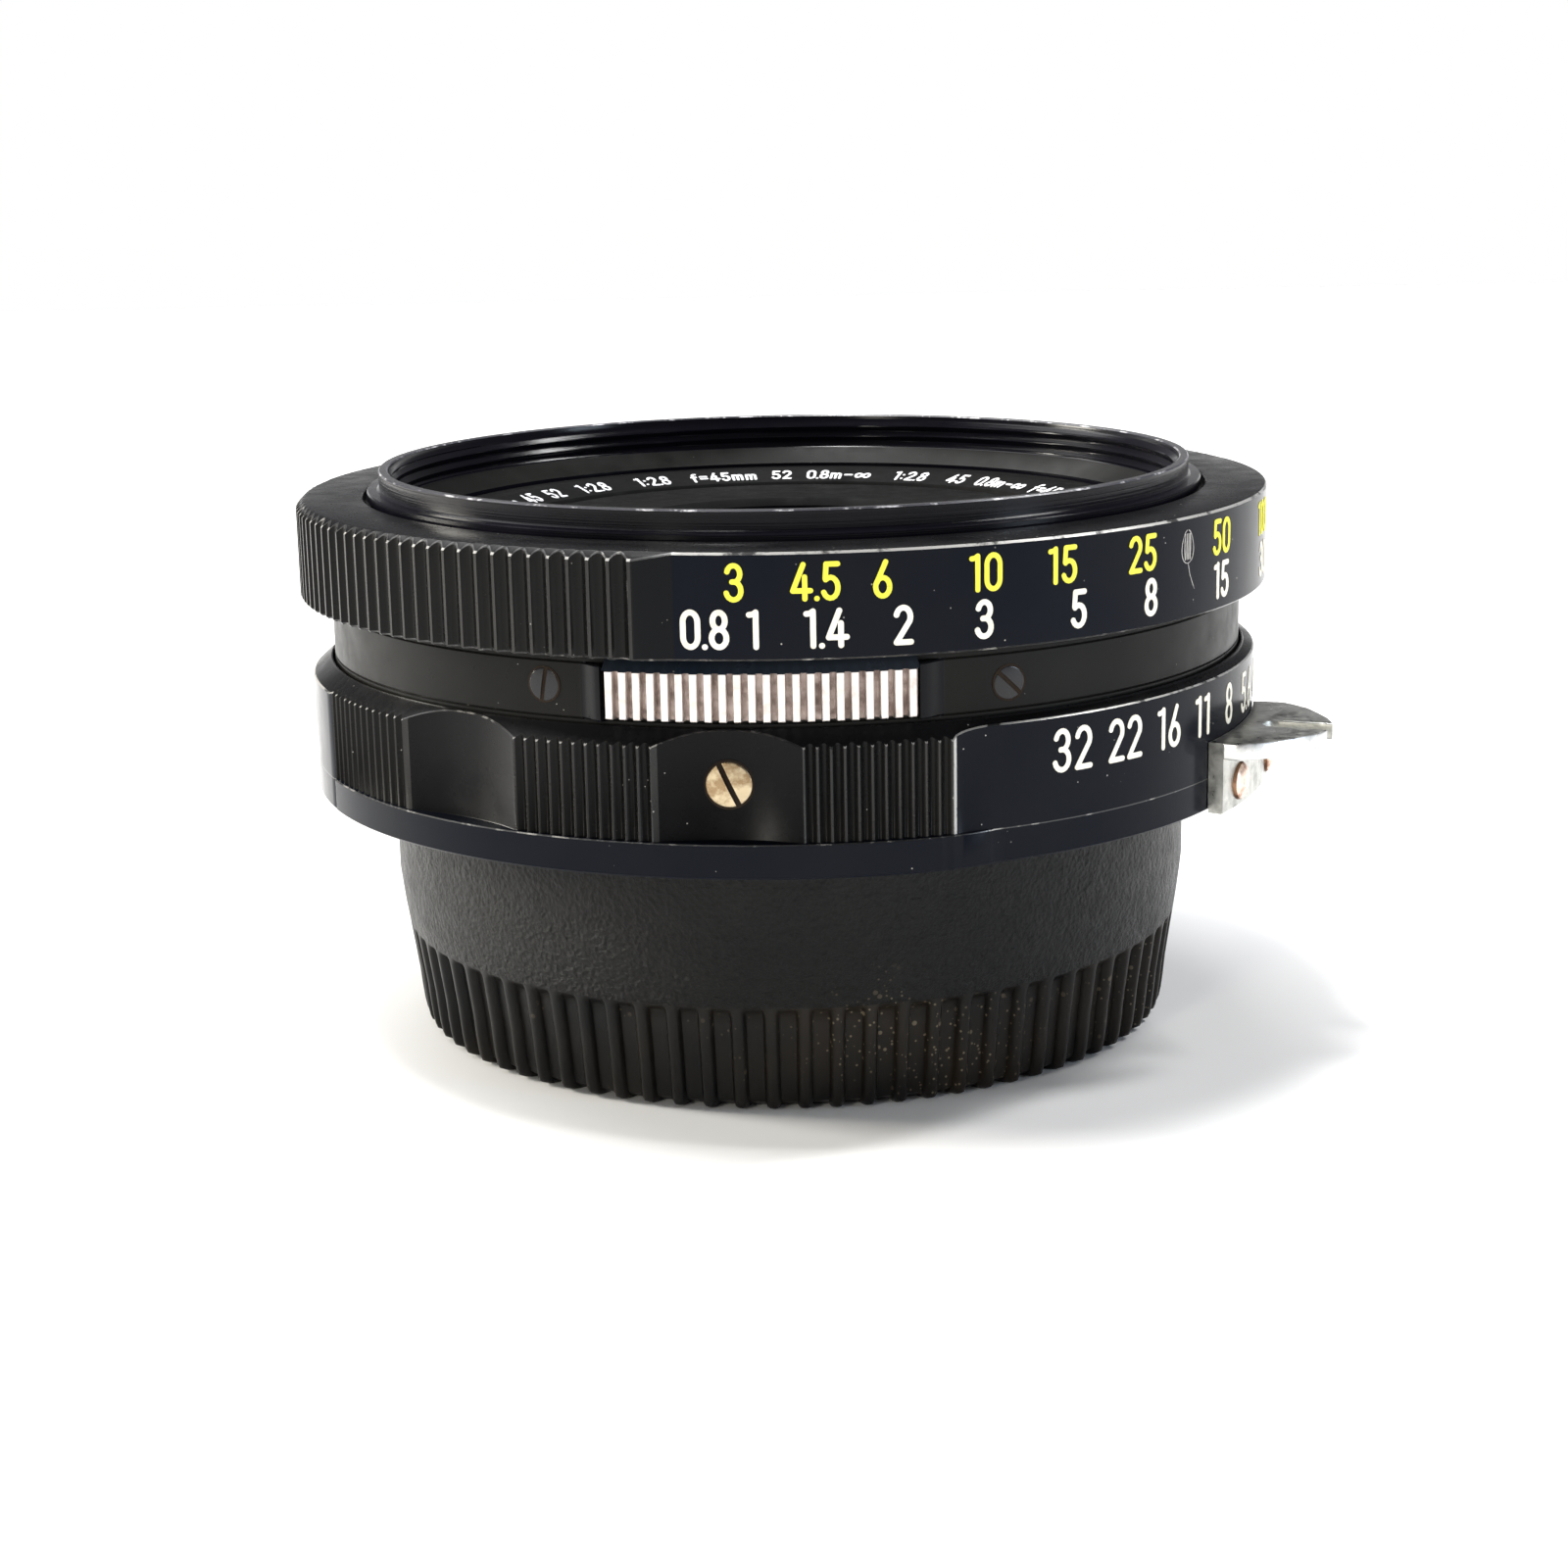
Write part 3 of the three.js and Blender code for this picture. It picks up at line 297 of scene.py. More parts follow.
# A lighter copy of the fork alloy for the plate's side faces: a painted highlight on the edges.
FORK_EDGE_HIGHLIGHT = metal("fork_edge_highlight", (0.66, 0.66, 0.65), (0.48, 0.48, 0.47), 0.32, 0.4)
COPPER = metal("copper_rivet", (0.86, 0.66, 0.55), (0.35, 0.19, 0.12), 0.3, 0.45)
NICKEL = metal("stained_nickel", (0.50, 0.41, 0.27), (0.26, 0.18, 0.10), 0.33, 0.62, (2.0, 2.0, 2.0))
# Dark brown for screw slots and for the ring round sunk screw heads: painted shade in the slots and in the
# gap round each head.
SLOT_SHADE = anodised("painted_slot_shade", (0.012, 0.008, 0.006), (0.03, 0.02, 0.012), 0.8, specular=0.1)
RIM_BROWN = metal("rivet_rim", (0.30, 0.17, 0.10), (0.12, 0.06, 0.035), 0.5, 0.5)
SCREW_BLACK = anodised("screw_black", (0.008, 0.008, 0.009), (0.016, 0.016, 0.018), 0.16,
                       specular=0.28, fleck=0.08)
CHROME = metal("mount_chrome", (0.72, 0.73, 0.74), (0.55, 0.55, 0.55), 0.2, 0.35, (2.0, 2.0, 9.0))
BRASS = metal("old_brass", (0.62, 0.45, 0.2), (0.36, 0.24, 0.1), 0.35, 0.5)
STEEL = metal("plain_steel", (0.6, 0.59, 0.57), (0.35, 0.34, 0.33), 0.28, 0.4)
BLADE = metal("blued_steel", (0.06, 0.06, 0.075), (0.03, 0.03, 0.035), 0.3, 0.4, (1.0, 8.0, 1.0), 0.9)
GLASS = glass("coated_glass", (0.004, 0.003, 0.008), (0.16, 0.10, 0.26))
CAP_UPPER = cap_plastic("cap_grain", False)
CAP_RIBBED = cap_plastic("cap_ribs", True)
SCRATCH = metal("scratch_metal", (0.55, 0.53, 0.5), (0.25, 0.24, 0.23), 0.4, 0.5)


# ------------------------------------------------------------------ mesh helpers
def point_on(radius, azimuth, height):
    angle = math.radians(azimuth)
    return (radius * math.sin(angle) * MM, -radius * math.cos(angle) * MM, height * MM)


def make_object(name, verts, faces, materials, indices=None, sharp=32.0):
    mesh = bpy.data.meshes.new(name)
    mesh.from_pydata(verts, [], faces)
    for material in materials:
        mesh.materials.append(material)
    if indices:
        mesh.polygons.foreach_set("material_index", indices)
    mesh.polygons.foreach_set("use_smooth", [True] * len(mesh.polygons))
    cleaner = bmesh.new()
    cleaner.from_mesh(mesh)
    bmesh.ops.remove_doubles(cleaner, verts=cleaner.verts, dist=1e-7)
    bmesh.ops.recalc_face_normals(cleaner, faces=cleaner.faces)
    cleaner.to_mesh(mesh)
    cleaner.free()
    mesh.set_sharp_from_angle(angle=math.radians(sharp))
    obj = bpy.data.objects.new(name, mesh)
    bpy.context.scene.collection.objects.link(obj)
    return obj


def swept(name, azimuths, section, materials, paint_face=None, whole=True, sharp=32.0):
    """A body turned round the lens axis whose outline, a list of (radius, height), may change with azimuth.
    paint_face(j, azimuth) picks the material of the face after point j. An open sweep gets end faces."""
    verts = []
    loops = []
    for azimuth in azimuths:
        outline = section(azimuth)
        loops.append(range(len(verts), len(verts) + len(outline)))
        verts.extend(point_on(radius, azimuth, height) for radius, height in outline)
    faces = []
    indices = []
    count = len(loops[0])
    steps = len(loops) if whole else len(loops) - 1
    for i in range(steps):
        near = loops[i]
        far = loops[(i + 1) % len(loops)]
        middle = azimuths[i]
        following = azimuths[(i + 1) % len(azimuths)]
        if following > middle:
            middle = (middle + following) / 2
        for j in range(count):
            k = (j + 1) % count
            faces.append((near[j], far[j], far[k], near[k]))
            indices.append(paint_face(j, middle) if paint_face else 0)
    if not whole:
        faces.append(tuple(loops[0]))
        faces.append(tuple(reversed(loops[-1])))
        indices.extend([0, 0])
    return make_object(name, verts, faces, materials, indices, sharp)


def even(count, start=0.0):
    return [start + 360.0 * i / count for i in range(count)]


def turned(name, profile, material, count=160, sharp=32.0, materials=None, paint_face=None):
    """A turned body with the same outline all round."""
    return swept(name, even(count), lambda _azimuth: profile, materials or [material], paint_face, True,
                 sharp)


def boolean(obj, cutter, operation="DIFFERENCE"):
    """Cuts or joins with another closed body and keeps the result as plain mesh."""
    modifier = obj.modifiers.new("cut", "BOOLEAN")
    modifier.operation = operation
    modifier.solver = "EXACT"
    modifier.object = cutter
    bpy.context.view_layer.update()
    evaluated = obj.evaluated_get(bpy.context.evaluated_depsgraph_get())
    mesh = bpy.data.meshes.new_from_object(evaluated)
    obj.modifiers.clear()
    obj.data = mesh
    mesh.set_sharp_from_angle(angle=math.radians(32.0))
    bpy.data.objects.remove(cutter)


def facing(azimuth, height, radius=0.0):
    """The frame of a place on the side of the lens: x along growing azimuth, y up, z outwards."""
    angle = math.radians(azimuth)
    outward = Vector((math.sin(angle), -math.cos(angle), 0.0))
    along = Vector((math.cos(angle), math.sin(angle), 0.0))
    up = Vector((0.0, 0.0, 1.0))
    matrix = Matrix.Identity(4)
    for column, axis in enumerate((along, up, outward)):
        for row in range(3):
            matrix[row][column] = axis[row]
    matrix.translation = outward * radius * MM + up * height * MM
    return matrix


def lathe_local(name, profile, matrix, materials, count=40, paint_face=None, sharp=32.0):
    """A small turned body with its own axis along z of the given frame."""
    verts = []
    faces = []
    indices = []
    for i in range(count):
        angle = 2 * math.pi * i / count
        for radius, height in profile:
            place = Vector((radius * math.cos(angle) * MM, radius * math.sin(angle) * MM, height * MM))
            verts.append(tuple(matrix @ place))
    length = len(profile)
    for i in range(count):
        for j in range(length - 1):
            a = i * length + j
            b = ((i + 1) % count) * length + j
            faces.append((a, b, b + 1, a + 1))
            indices.append(paint_face(j, 0.0) if paint_face else 0)
    return make_object(name, verts, faces, materials, indices, sharp)


def local_box(size, centre, matrix, turn=0.0):
    bpy.ops.mesh.primitive_cube_add(size=1.0)
    box = bpy.context.object
    spin = Matrix.Rotation(math.radians(turn), 4, "Z")
    scale = Matrix.Diagonal((*[side * MM for side in size], 1.0))
    box.data.transform(matrix @ spin @ Matrix.Translation([value * MM for value in centre]) @ scale)
    return box


def slotted_screw(name, radius, height, matrix, turn, finish, shaded_slot, dome=0.06, slot_share=0.2):
    """A screw head with a rounded rim and a sawn slot, sunk below z 0 by its height."""
    steps = 6
    profile = [(0.0, -height), (radius * 0.97, -height), (radius, -height * 0.9)]
    bevel = 0.12 * radius
    for i in range(steps + 1):
        angle = math.pi / 2 * i / steps
        profile.append((radius - bevel + bevel * math.cos(angle), -bevel + bevel * math.sin(angle)))
    profile.append((radius * 0.5, dome * 0.7))
    profile.append((0.0, dome))
    head = lathe_local(name, profile, matrix, [finish, shaded_slot], 48)
    # The slot walls take the dark slot colour: painted shade in the slot.
    slot = local_box((3 * radius, slot_share * radius, height), (0.0, 0.0, 0.15), matrix, turn)
    slot.data.materials.append(shaded_slot)
    boolean(head, slot)
    return head


def screw_seat_shade(name, radius, matrix):
    """A dark ring round a sunk screw head: painted shade in the gap between the head and its countersink.
    """
    profile = [(0.0, -0.3), (radius, -0.3), (radius + 0.02, 0.02), (radius - 0.03, 0.035), (0.0, 0.03)]
    return lathe_local(name, profile, matrix, [SLOT_SHADE], 40)


def own(obj, body, slot, *replaced):
    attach(obj, body)
    if replaced:
        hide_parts(*replaced)
    return obj


# ------------------------------------------------------------------ rear cap
def cap_outer(height):
    """Outer radius of the rib tops, then of the plain band."""
    table = [(0.0, 24.75), (0.35, 25.15), (1.6, 25.4), (3.0, 25.5), (4.4, 25.7), (5.8, 25.9), (7.2, 26.1),
             (8.5, 26.3), (10.4, 26.5), (CAP_TOP, 26.5)]
    for (low, first), (high, second) in zip(table, table[1:]):
        if height <= high:
            return first + (second - first) * (height - low) / (high - low)
    return table[-1][1]


CAP_LEVELS = [0.0, 0.1, 0.3, 0.6, 1.2, 2.2, 3.4, 4.6, 5.6, 6.2, 6.5, 6.7, 6.9, 7.2, 8.0, 9.2, 10.4, 12.5,
              15.3]
CAP_RIB_WIDTH = 0.46
CAP_FIRST_RIB = 1.4
CAP_RIB_TOP = 6.75
CAP_RIB_FACES = 12


def cap_section(azimuth):
    pitch = 360.0 / CAP_RIBS
    share = ((azimuth - CAP_FIRST_RIB) / pitch + 0.5) % 1.0 - 0.5
    inside = 2 * abs(share) / CAP_RIB_WIDTH
    crown = math.sqrt(max(0.0, 1.0 - inside ** 2.6)) if inside < 1 else 0.0
    points = []
    for height in CAP_LEVELS:
        outer = cap_outer(height)
        if height < CAP_RIB_TOP:
            end = min(1.0, max(0.0, (6.72 - height) / 0.4)) ** 0.5
            foot = 1.0 if height > 0.35 else math.sqrt(max(0.0, 1 - (1 - height / 0.35) ** 2)) * 0.6 + 0.4
            root = outer - 0.52 - 1.1 * max(0.0, 0.6 - height)
            root += (outer - root) * (1 - end) * 0.9
            points.append((root + (outer - root) * crown * foot, height))
        else:
            points.append((outer, height))
    points += [(26.42, 15.6), (26.25, CAP_TOP), (CAP_BORE + 0.15, CAP_TOP), (CAP_BORE, 15.5),
               (CAP_BORE, 2.6), (CAP_BORE - 0.2, CAP_FLOOR), (12.0, CAP_FLOOR), (0.0, CAP_FLOOR),
               (0.0, 0.35), (21.5, 0.35), (22.0, 0.0)]
    return points


def cap_paint(j, _azimuth):
    return 1 if j < CAP_RIB_FACES else 0


cap = swept("rear_cap_body", even(CAP_RIBS * 16, CAP_FIRST_RIB), cap_section, [CAP_UPPER, CAP_RIBBED],
            cap_paint, sharp=40.0)
own(cap, "rear_cap", "cap_plastic", "rear_cap")


def sector_body(name, inner, outer, ends, heights, materials, steps=16, bevel=0.12, paint_face=None):
    """A curved block between two radii, azimuths and heights with small chamfers on its outer edges."""
    low, high = heights

    def section(_azimuth):
        return [(inner, low), (outer - bevel, low), (outer, low + bevel), (outer, high - bevel),
                (outer - bevel, high), (inner, high)]
    azimuths = [ends[0] + (ends[1] - ends[0]) * i / steps for i in range(steps + 1)]
    return swept(name, azimuths, section, materials, paint_face, whole=False)


for number, azimuth in enumerate((90, 210, 330)):
    lug = sector_body(f"cap_lug_{number + 1}", 22.2, CAP_BORE + 0.1, (azimuth - 20, azimuth + 20),
                      (13.0, 14.5), [CAP_UPPER])
    own(lug, "rear_cap", "cap_plastic")


# ------------------------------------------------------------------ bayonet mount
mount = turned("bayonet_mount_body", [
    (20.0, 11.0), (21.75, 11.0), (21.9, 11.15), (21.9, 16.15), (27.0, 16.15), (27.05, 16.0),
    (29.1, 16.0), (29.2, 16.1), (29.2, 17.2), (20.0, 17.2), (20.0, 15.1), (17.6, 15.1), (17.6, 14.5),
    (20.0, 14.5),
], CHROME)
own(mount, "barrel", "mount_chrome", "bayonet_mount")
for number, azimuth in enumerate((30, 150, 270)):
    tab = sector_body(f"bayonet_tab_{number + 1}", 21.0, 23.4, (azimuth - 29, azimuth + 29),
                      (11.05, 12.6), [CHROME], 20)
    own(tab, "barrel", "mount_chrome")
for number in range(5):
    azimuth = 20 + 72 * number
    place = Matrix.Translation(Vector(point_on(25.5, azimuth, 16.05))) @ Matrix.Rotation(math.pi, 4, "X")
    screw = slotted_screw(f"mount_screw_head_{number + 1}", 1.4, 0.5, place, 30 * number, STEEL, SLOT_SHADE)
    own(screw, "barrel", "screw_nickel", f"mount_screw_{number + 1}")


# ------------------------------------------------------------------ fixed barrel and its grips
GRIP_CLEARANCE_ANGLE = 0.15
GRIP_LAND_ANGLE = 3.4
GRIP_LAND_RISE = 0.7


def grip_bulge(azimuth):
    """How far the smooth lands beside a grip stand proud of the barrel."""
    best = 0.0
    for centre in GRIP_CENTRES:
        away = abs((azimuth - centre + 180) % 360 - 180)
        start = GRIP_HALF_ANGLE + GRIP_CLEARANCE_ANGLE
        if start <= away <= start + GRIP_LAND_ANGLE:
            share = (away - start) / GRIP_LAND_ANGLE
            best = max(best, GRIP_LAND_RISE * (0.5 + 0.5 * math.cos(math.pi * share)))
    return best


def barrel_azimuths():
    places = set(even(240))
    for centre in GRIP_CENTRES:
        for side in (-1, 1):
            near = centre + side * (GRIP_HALF_ANGLE + GRIP_CLEARANCE_ANGLE)
            for step in [-0.01, 0.0] + [0.28 * i for i in range(1, 14)]:
                places.add((near + side * step) % 360)
    return sorted(places)


def barrel_section(azimuth):
    side = BARREL_RADIUS + grip_bulge(azimuth)
    top = BARREL_TOP + 0.25
    return [(22.8, 17.3), (28.6, 17.3), (28.6, 24.3), (29.9, 24.3), (30.0, 24.4), (30.0, 25.1),
            (side - 0.08, 25.15), (side, 25.25), (side, 28.35), (side - 0.08, 28.45), (30.0, 28.5),
            (30.0, top - 0.1), (29.9, top), (27.0, top), (27.0, 19.6), (22.8, 19.6)]


def barrel_paint(j, azimuth):
    return 1 if grip_bulge(azimuth) > 0.02 and 5 <= j <= 9 else 0


barrel = swept("fixed_barrel_body", barrel_azimuths(), barrel_section, [BARREL_BLACK, GLOSS], barrel_paint)
own(barrel, "barrel", "barrel_black", "fixed_barrel")
for number, (azimuth, height, slot_turn) in enumerate(BARREL_SCREWS):
    place = facing(azimuth, height, BARREL_RADIUS + 0.06)
    screw = slotted_screw(f"barrel_screw_head_{number + 1}", 1.02, 0.5, place, slot_turn, SCREW_BLACK,
                          SLOT_SHADE, 0.05, 0.26)
    own(screw, "barrel", "screw_black", f"barrel_screw_{number + 1}")
    seat = screw_seat_shade(f"barrel_screw_seat_{number + 1}", 1.07, facing(azimuth, height, BARREL_RADIUS))
    own(seat, "barrel", "screw_black")


def grip(number, centre):
    teeth = round(2 * GRIP_HALF_ANGLE / GRIP_PITCH)
    pitch = 2 * GRIP_HALF_ANGLE / teeth
    azimuths = []
    radii = {}
    for i in range(teeth):
        start = centre - GRIP_HALF_ANGLE + i * pitch
        for share, radius in ((0.0, GRIP_ROOT), (0.2, GRIP_ROOT), (0.24, GRIP_RADIUS - 0.05),
                              (0.28, GRIP_RADIUS), (0.5, GRIP_RADIUS), (0.74, GRIP_RADIUS),
                              (0.78, GRIP_RADIUS - 0.05), (0.82, GRIP_ROOT)):
            azimuth = start + share * pitch
            azimuths.append(azimuth)
            radii[azimuth] = radius
    last = centre + GRIP_HALF_ANGLE
    azimuths.append(last)
    radii[last] = GRIP_ROOT
    low, high = GRIP_HEIGHTS

    def section(azimuth):
        radius = radii[azimuth]
        return [(30.1, low), (radius - 0.06, low), (radius, low + 0.06), (radius, high - 0.04),
                (30.96, high + 0.02), (30.25, high + 0.6), (30.1, high + 0.6)]

    def face(j, azimuth):
        share = ((azimuth - centre + GRIP_HALF_ANGLE) / pitch) % 1.0
        if j in (3, 4, 5):
            return 2
        return 0 if 0.21 < share < 0.81 else 1

    body = swept(f"mounting_grip_body_{number}", azimuths, section, [GRIP, GRIP_GROOVE, LEDGE], face,
                 whole=False)
    own(body, "barrel", "bright_alloy", f"mounting_grip_{number}")


for number, centre in enumerate(GRIP_CENTRES):
    grip(number + 1, centre)


# ------------------------------------------------------------------ aperture ring
def cone_height(radius):
    return APERTURE_CONE_BOTTOM + (APERTURE_LAND_RADIUS - radius) * 0.864


def aperture_outline(band_radius, band_edge):
    """Azimuth, radius, kind and top edge height of each corner of half the ring's outline."""
    corners = []
    left, middle, right = APERTURE_LANDS
    corner_gap = 0.1
    rounding = 0.06

    def add(azimuth, radius, kind, edge=None):
        corners.append((azimuth, radius, kind, cone_height(radius) if edge is None else edge))

    def land(ends):
        count = round((ends[1] - ends[0]) / APERTURE_KNURL_PITCH)
        pitch = (ends[1] - ends[0]) / count
        add(ends[0] - corner_gap, APERTURE_LAND_RADIUS - rounding, "edge")
        add(ends[0], APERTURE_LAND_RADIUS, "ridge")
        for i in range(count):
            start = ends[0] + i * pitch
            for share in (0.1, 0.2, 0.3, 0.4, 0.5, 0.6, 0.7, 0.8, 0.9):
                depth = 0.34 * math.sin(math.pi * share) ** 1.5
                kind = "ridge" if share > 0.85 else "groove"
                add(start + share * pitch, APERTURE_LAND_RADIUS - depth, kind)
            add(start + pitch, APERTURE_LAND_RADIUS, "ridge")
        add(ends[1] + corner_gap, APERTURE_LAND_RADIUS - rounding, "edge")

    def flute(first, last):
        steps = 30
        start = APERTURE_LAND_RADIUS - rounding
        depth = start - APERTURE_FLUTE_RADIUS
        for i in range(1, steps):
            share = 2 * i / steps - 1
            add(first + (last - first) * i / steps, start - depth * (1 - abs(share) ** 2.2), "flute")
    land(left)
    flute(left[1] + corner_gap, middle[0] - corner_gap)
    land(middle)
    flute(middle[1] + corner_gap, right[0] - corner_gap)
    land(right)
    start = right[1] + corner_gap
    for i in range(1, 13):
        share = i / 12
        rise = math.sqrt(1 - (1 - share) ** 2)
        radius = APERTURE_LAND_RADIUS - 0.06 - (APERTURE_LAND_RADIUS - 0.06 - band_radius) * rise
        edge = cone_height(APERTURE_LAND_RADIUS) + (band_edge - APERTURE_CONE_BOTTOM) * rise
        add(start + (APERTURE_BAND_START - start) * share, radius, "band", edge)
    end = left[0] + 180 - 0.6
    steps = 70
    for i in range(1, steps + 1):
        azimuth = APERTURE_BAND_START + (end - APERTURE_BAND_START) * i / steps
        add(azimuth, band_radius, "band", band_edge)
    return corners


front_half = aperture_outline(APERTURE_BAND_RADIUS, APERTURE_BAND_EDGE)
back_half = aperture_outline(APERTURE_BACK_BAND_RADIUS, cone_height(APERTURE_BACK_BAND_RADIUS))
ring_outline = front_half + [(azimuth + 180, *rest) for azimuth, *rest in back_half]
outline_radius = {azimuth: radius for azimuth, radius, kind, edge in ring_outline}
outline_edge = {azimuth: edge for azimuth, radius, kind, edge in ring_outline}
outline_kinds = [(azimuth, kind) for azimuth, radius, kind, edge in ring_outline]


def in_rim(azimuth):
    """0 off the raised lower rim, 1 on it, with a rounded end between."""
    place = (azimuth + 180) % 180 if azimuth < 0 else azimuth % 180
    place = place - 180 if place > 100 else place
    first = APERTURE_LANDS[0][0]
    last = APERTURE_BAND_START
    if place < first or place > last:
        return 0.0
    return min(1.0, (last - place) / 9.0, (place - first + 0.2) / 0.5) ** 0.5


def aperture_section(azimuth):
    radius = outline_radius[azimuth]
    cone = outline_edge[azimuth]
    rim_share = in_rim(azimuth)
    rim = radius + (max(radius, APERTURE_RIM_RADIUS) - radius) * rim_share
    rim_top = APERTURE_RIM_TOP
    return [(29.5, APERTURE_BOTTOM), (rim - 0.1, APERTURE_BOTTOM), (rim, APERTURE_BOTTOM + 0.1),
            (rim, rim_top - 0.07), (rim - 0.07 * rim_share, rim_top),
            (radius + 0.03 * rim_share, rim_top + 0.03), (radius, rim_top + 0.08),
            (radius, cone - 0.07), (radius - 0.1, cone + 0.02),
            (30.34, max(APERTURE_TOP - 0.1, cone + 0.05)), (30.27, APERTURE_TOP), (30.18, APERTURE_TOP),
            (30.18, 24.0), (28.9, 24.0), (28.9, 17.6), (29.5, 17.6)]


kind_starts = sorted(outline_kinds)


def aperture_paint(j, azimuth):
    kind = "band"
    place = azimuth
    for start, name in kind_starts:
        if start > place:
            break
        kind = name
    # Chamfers take the bright edge finishes: partly real wear, partly painted highlight lines.
    if j == 3:
        return 4
    if j in (1, 2, 4):
        return 2
    if j == 7:
        return {"band": 3, "edge": 3, "ridge": 3, "groove": 1}.get(kind, 4)
    if j in (8, 9):
        return 0
    # Land-end faces and ridge tops take the lighter ridge tone as a painted highlight. The land end beside
    # the number band takes the bright edge finish as a painted highlight line.
    if kind == "edge" and j in (5, 6):
        return 3 if 17.0 < azimuth < 18.0 or 197.0 < azimuth < 198.0 else 5
    if j == 6:
        return {"ridge": 5, "groove": 1, "band": 2, "flute": 0}.get(kind, 0)
    if kind == "band" and j in (5, 6):
        return 2
    return 0


aperture = swept("aperture_ring_body", sorted(outline_radius), aperture_section,
                 [BLACK, KNURL_BLACK, BAND_BLACK, EDGE, EDGE_FAINT, RIDGE_HIGHLIGHT, GLOSS], aperture_paint)
own(aperture, "aperture_ring", "aperture_black", "aperture_ring")
screw_azimuth, screw_height, screw_turn = APERTURE_SCREW
screw = slotted_screw("aperture_ring_screw_head", 1.38, 0.6, facing(screw_azimuth, screw_height, 30.46),
                      screw_turn, NICKEL, SLOT_SHADE, 0.1, 0.24)
own(screw, "aperture_ring", "screw_nickel", "aperture_ring_screw")
own(screw_seat_shade("aperture_ring_screw_seat", 1.45, facing(screw_azimuth, screw_height, 30.38)),
    "aperture_ring", "screw_nickel")


# ------------------------------------------------------------------ coupling fork
def fork_plate():
    """The flat half-moon of the fork with its open slot, in the frame outwards, along, up."""
    inner = 31.06
    outline = []
    for i in range(13):
        angle = math.radians(FORK_HALF_ANGLE * (1 - i / 6))
        outline.append((inner * math.cos(angle), inner * math.sin(angle)))
    tips = [(32.0, 6.66), (32.5, 6.55), (33.1, 6.2), (34.2, 5.3), (35.1, 4.05), (35.9, 2.8),
            (36.4, 1.7), (36.62, 0.95)]
    outline += [(outward, -across) for outward, across in tips]
    slot_half = 0.95
    for i in range(9):
        angle = math.pi * i / 8
        outline.append((33.3 - slot_half * math.sin(angle), -slot_half * math.cos(angle)))
    outline += [(outward, across) for outward, across in reversed(tips)]
    mesh = bpy.data.meshes.new("coupling_fork_plate")
    shape = bmesh.new()
    low, high = FORK_PLATE
    frame_matrix = Matrix.Rotation(math.radians(FORK_AZIMUTH - 90), 4, "Z")
    bottom = [shape.verts.new(frame_matrix @ Vector((x * MM, y * MM, low * MM))) for x, y in outline]
    face = shape.faces.new(bottom)
    raised = bmesh.ops.extrude_face_region(shape, geom=[face])
    top = [item for item in raised["geom"] if isinstance(item, bmesh.types.BMVert)]
    bmesh.ops.translate(shape, verts=top, vec=(0, 0, (high - low) * MM))
    bmesh.ops.recalc_face_normals(shape, faces=shape.faces)
    rims = [edge for edge in shape.edges if abs(edge.verts[0].co.z - edge.verts[1].co.z) < 1e-6]
    bmesh.ops.bevel(shape, geom=rims, offset=0.1 * MM, segments=2, affect="EDGES", profile=0.5)
    shape.to_mesh(mesh)
    shape.free()
    for material in (FORK, FORK_EDGE_HIGHLIGHT):
        mesh.materials.append(material)
    # Side faces take the lighter alloy copy as a painted highlight. The slot walls keep the darker top-face
    # alloy as painted shade in the slot.
    for polygon in mesh.polygons:
        polygon.use_smooth = True
        across = (frame_matrix.inverted() @ polygon.center).y / MM
        in_slot = abs(across) < slot_half + 0.02
        polygon.material_index = 0 if abs(polygon.normal.z) > 0.9 or in_slot else 1
    mesh.set_sharp_from_angle(angle=math.radians(40))
    obj = bpy.data.objects.new("coupling_fork_plate", mesh)
    bpy.context.scene.collection.objects.link(obj)
    return obj


ends = (FORK_AZIMUTH - FORK_HALF_ANGLE, FORK_AZIMUTH + FORK_HALF_ANGLE)
foot = sector_body("coupling_fork_foot", 31.05, FORK_FOOT[1], ends,
                   (FORK_FOOT_BOTTOM, FORK_PLATE[1] - 0.02), [FORK, FORK_EDGE_HIGHLIGHT], 24, 0.1)
own(foot, "aperture_ring", "grey_alloy", "coupling_fork")
own(fork_plate(), "aperture_ring", "grey_alloy")
RIVET_PROFILE = [(0.0, -0.4), (1.18, -0.4), (1.2, 0.04), (1.12, 0.18), (1.0, 0.27), (0.75, 0.38),
                 (0.4, 0.46), (0.0, 0.5)]
for number, azimuth in enumerate(FORK_RIVETS):
    place = facing(azimuth, FORK_RIVET_HEIGHT, FORK_FOOT[1])
    rivet = lathe_local(f"fork_rivet_head_{number + 1}", RIVET_PROFILE, place, [COPPER, RIM_BROWN], 40,
                        lambda j, _azimuth: 1 if j < 3 else 0, 50)
    own(rivet, "aperture_ring", "copper", f"fork_rivet_{number + 1}")


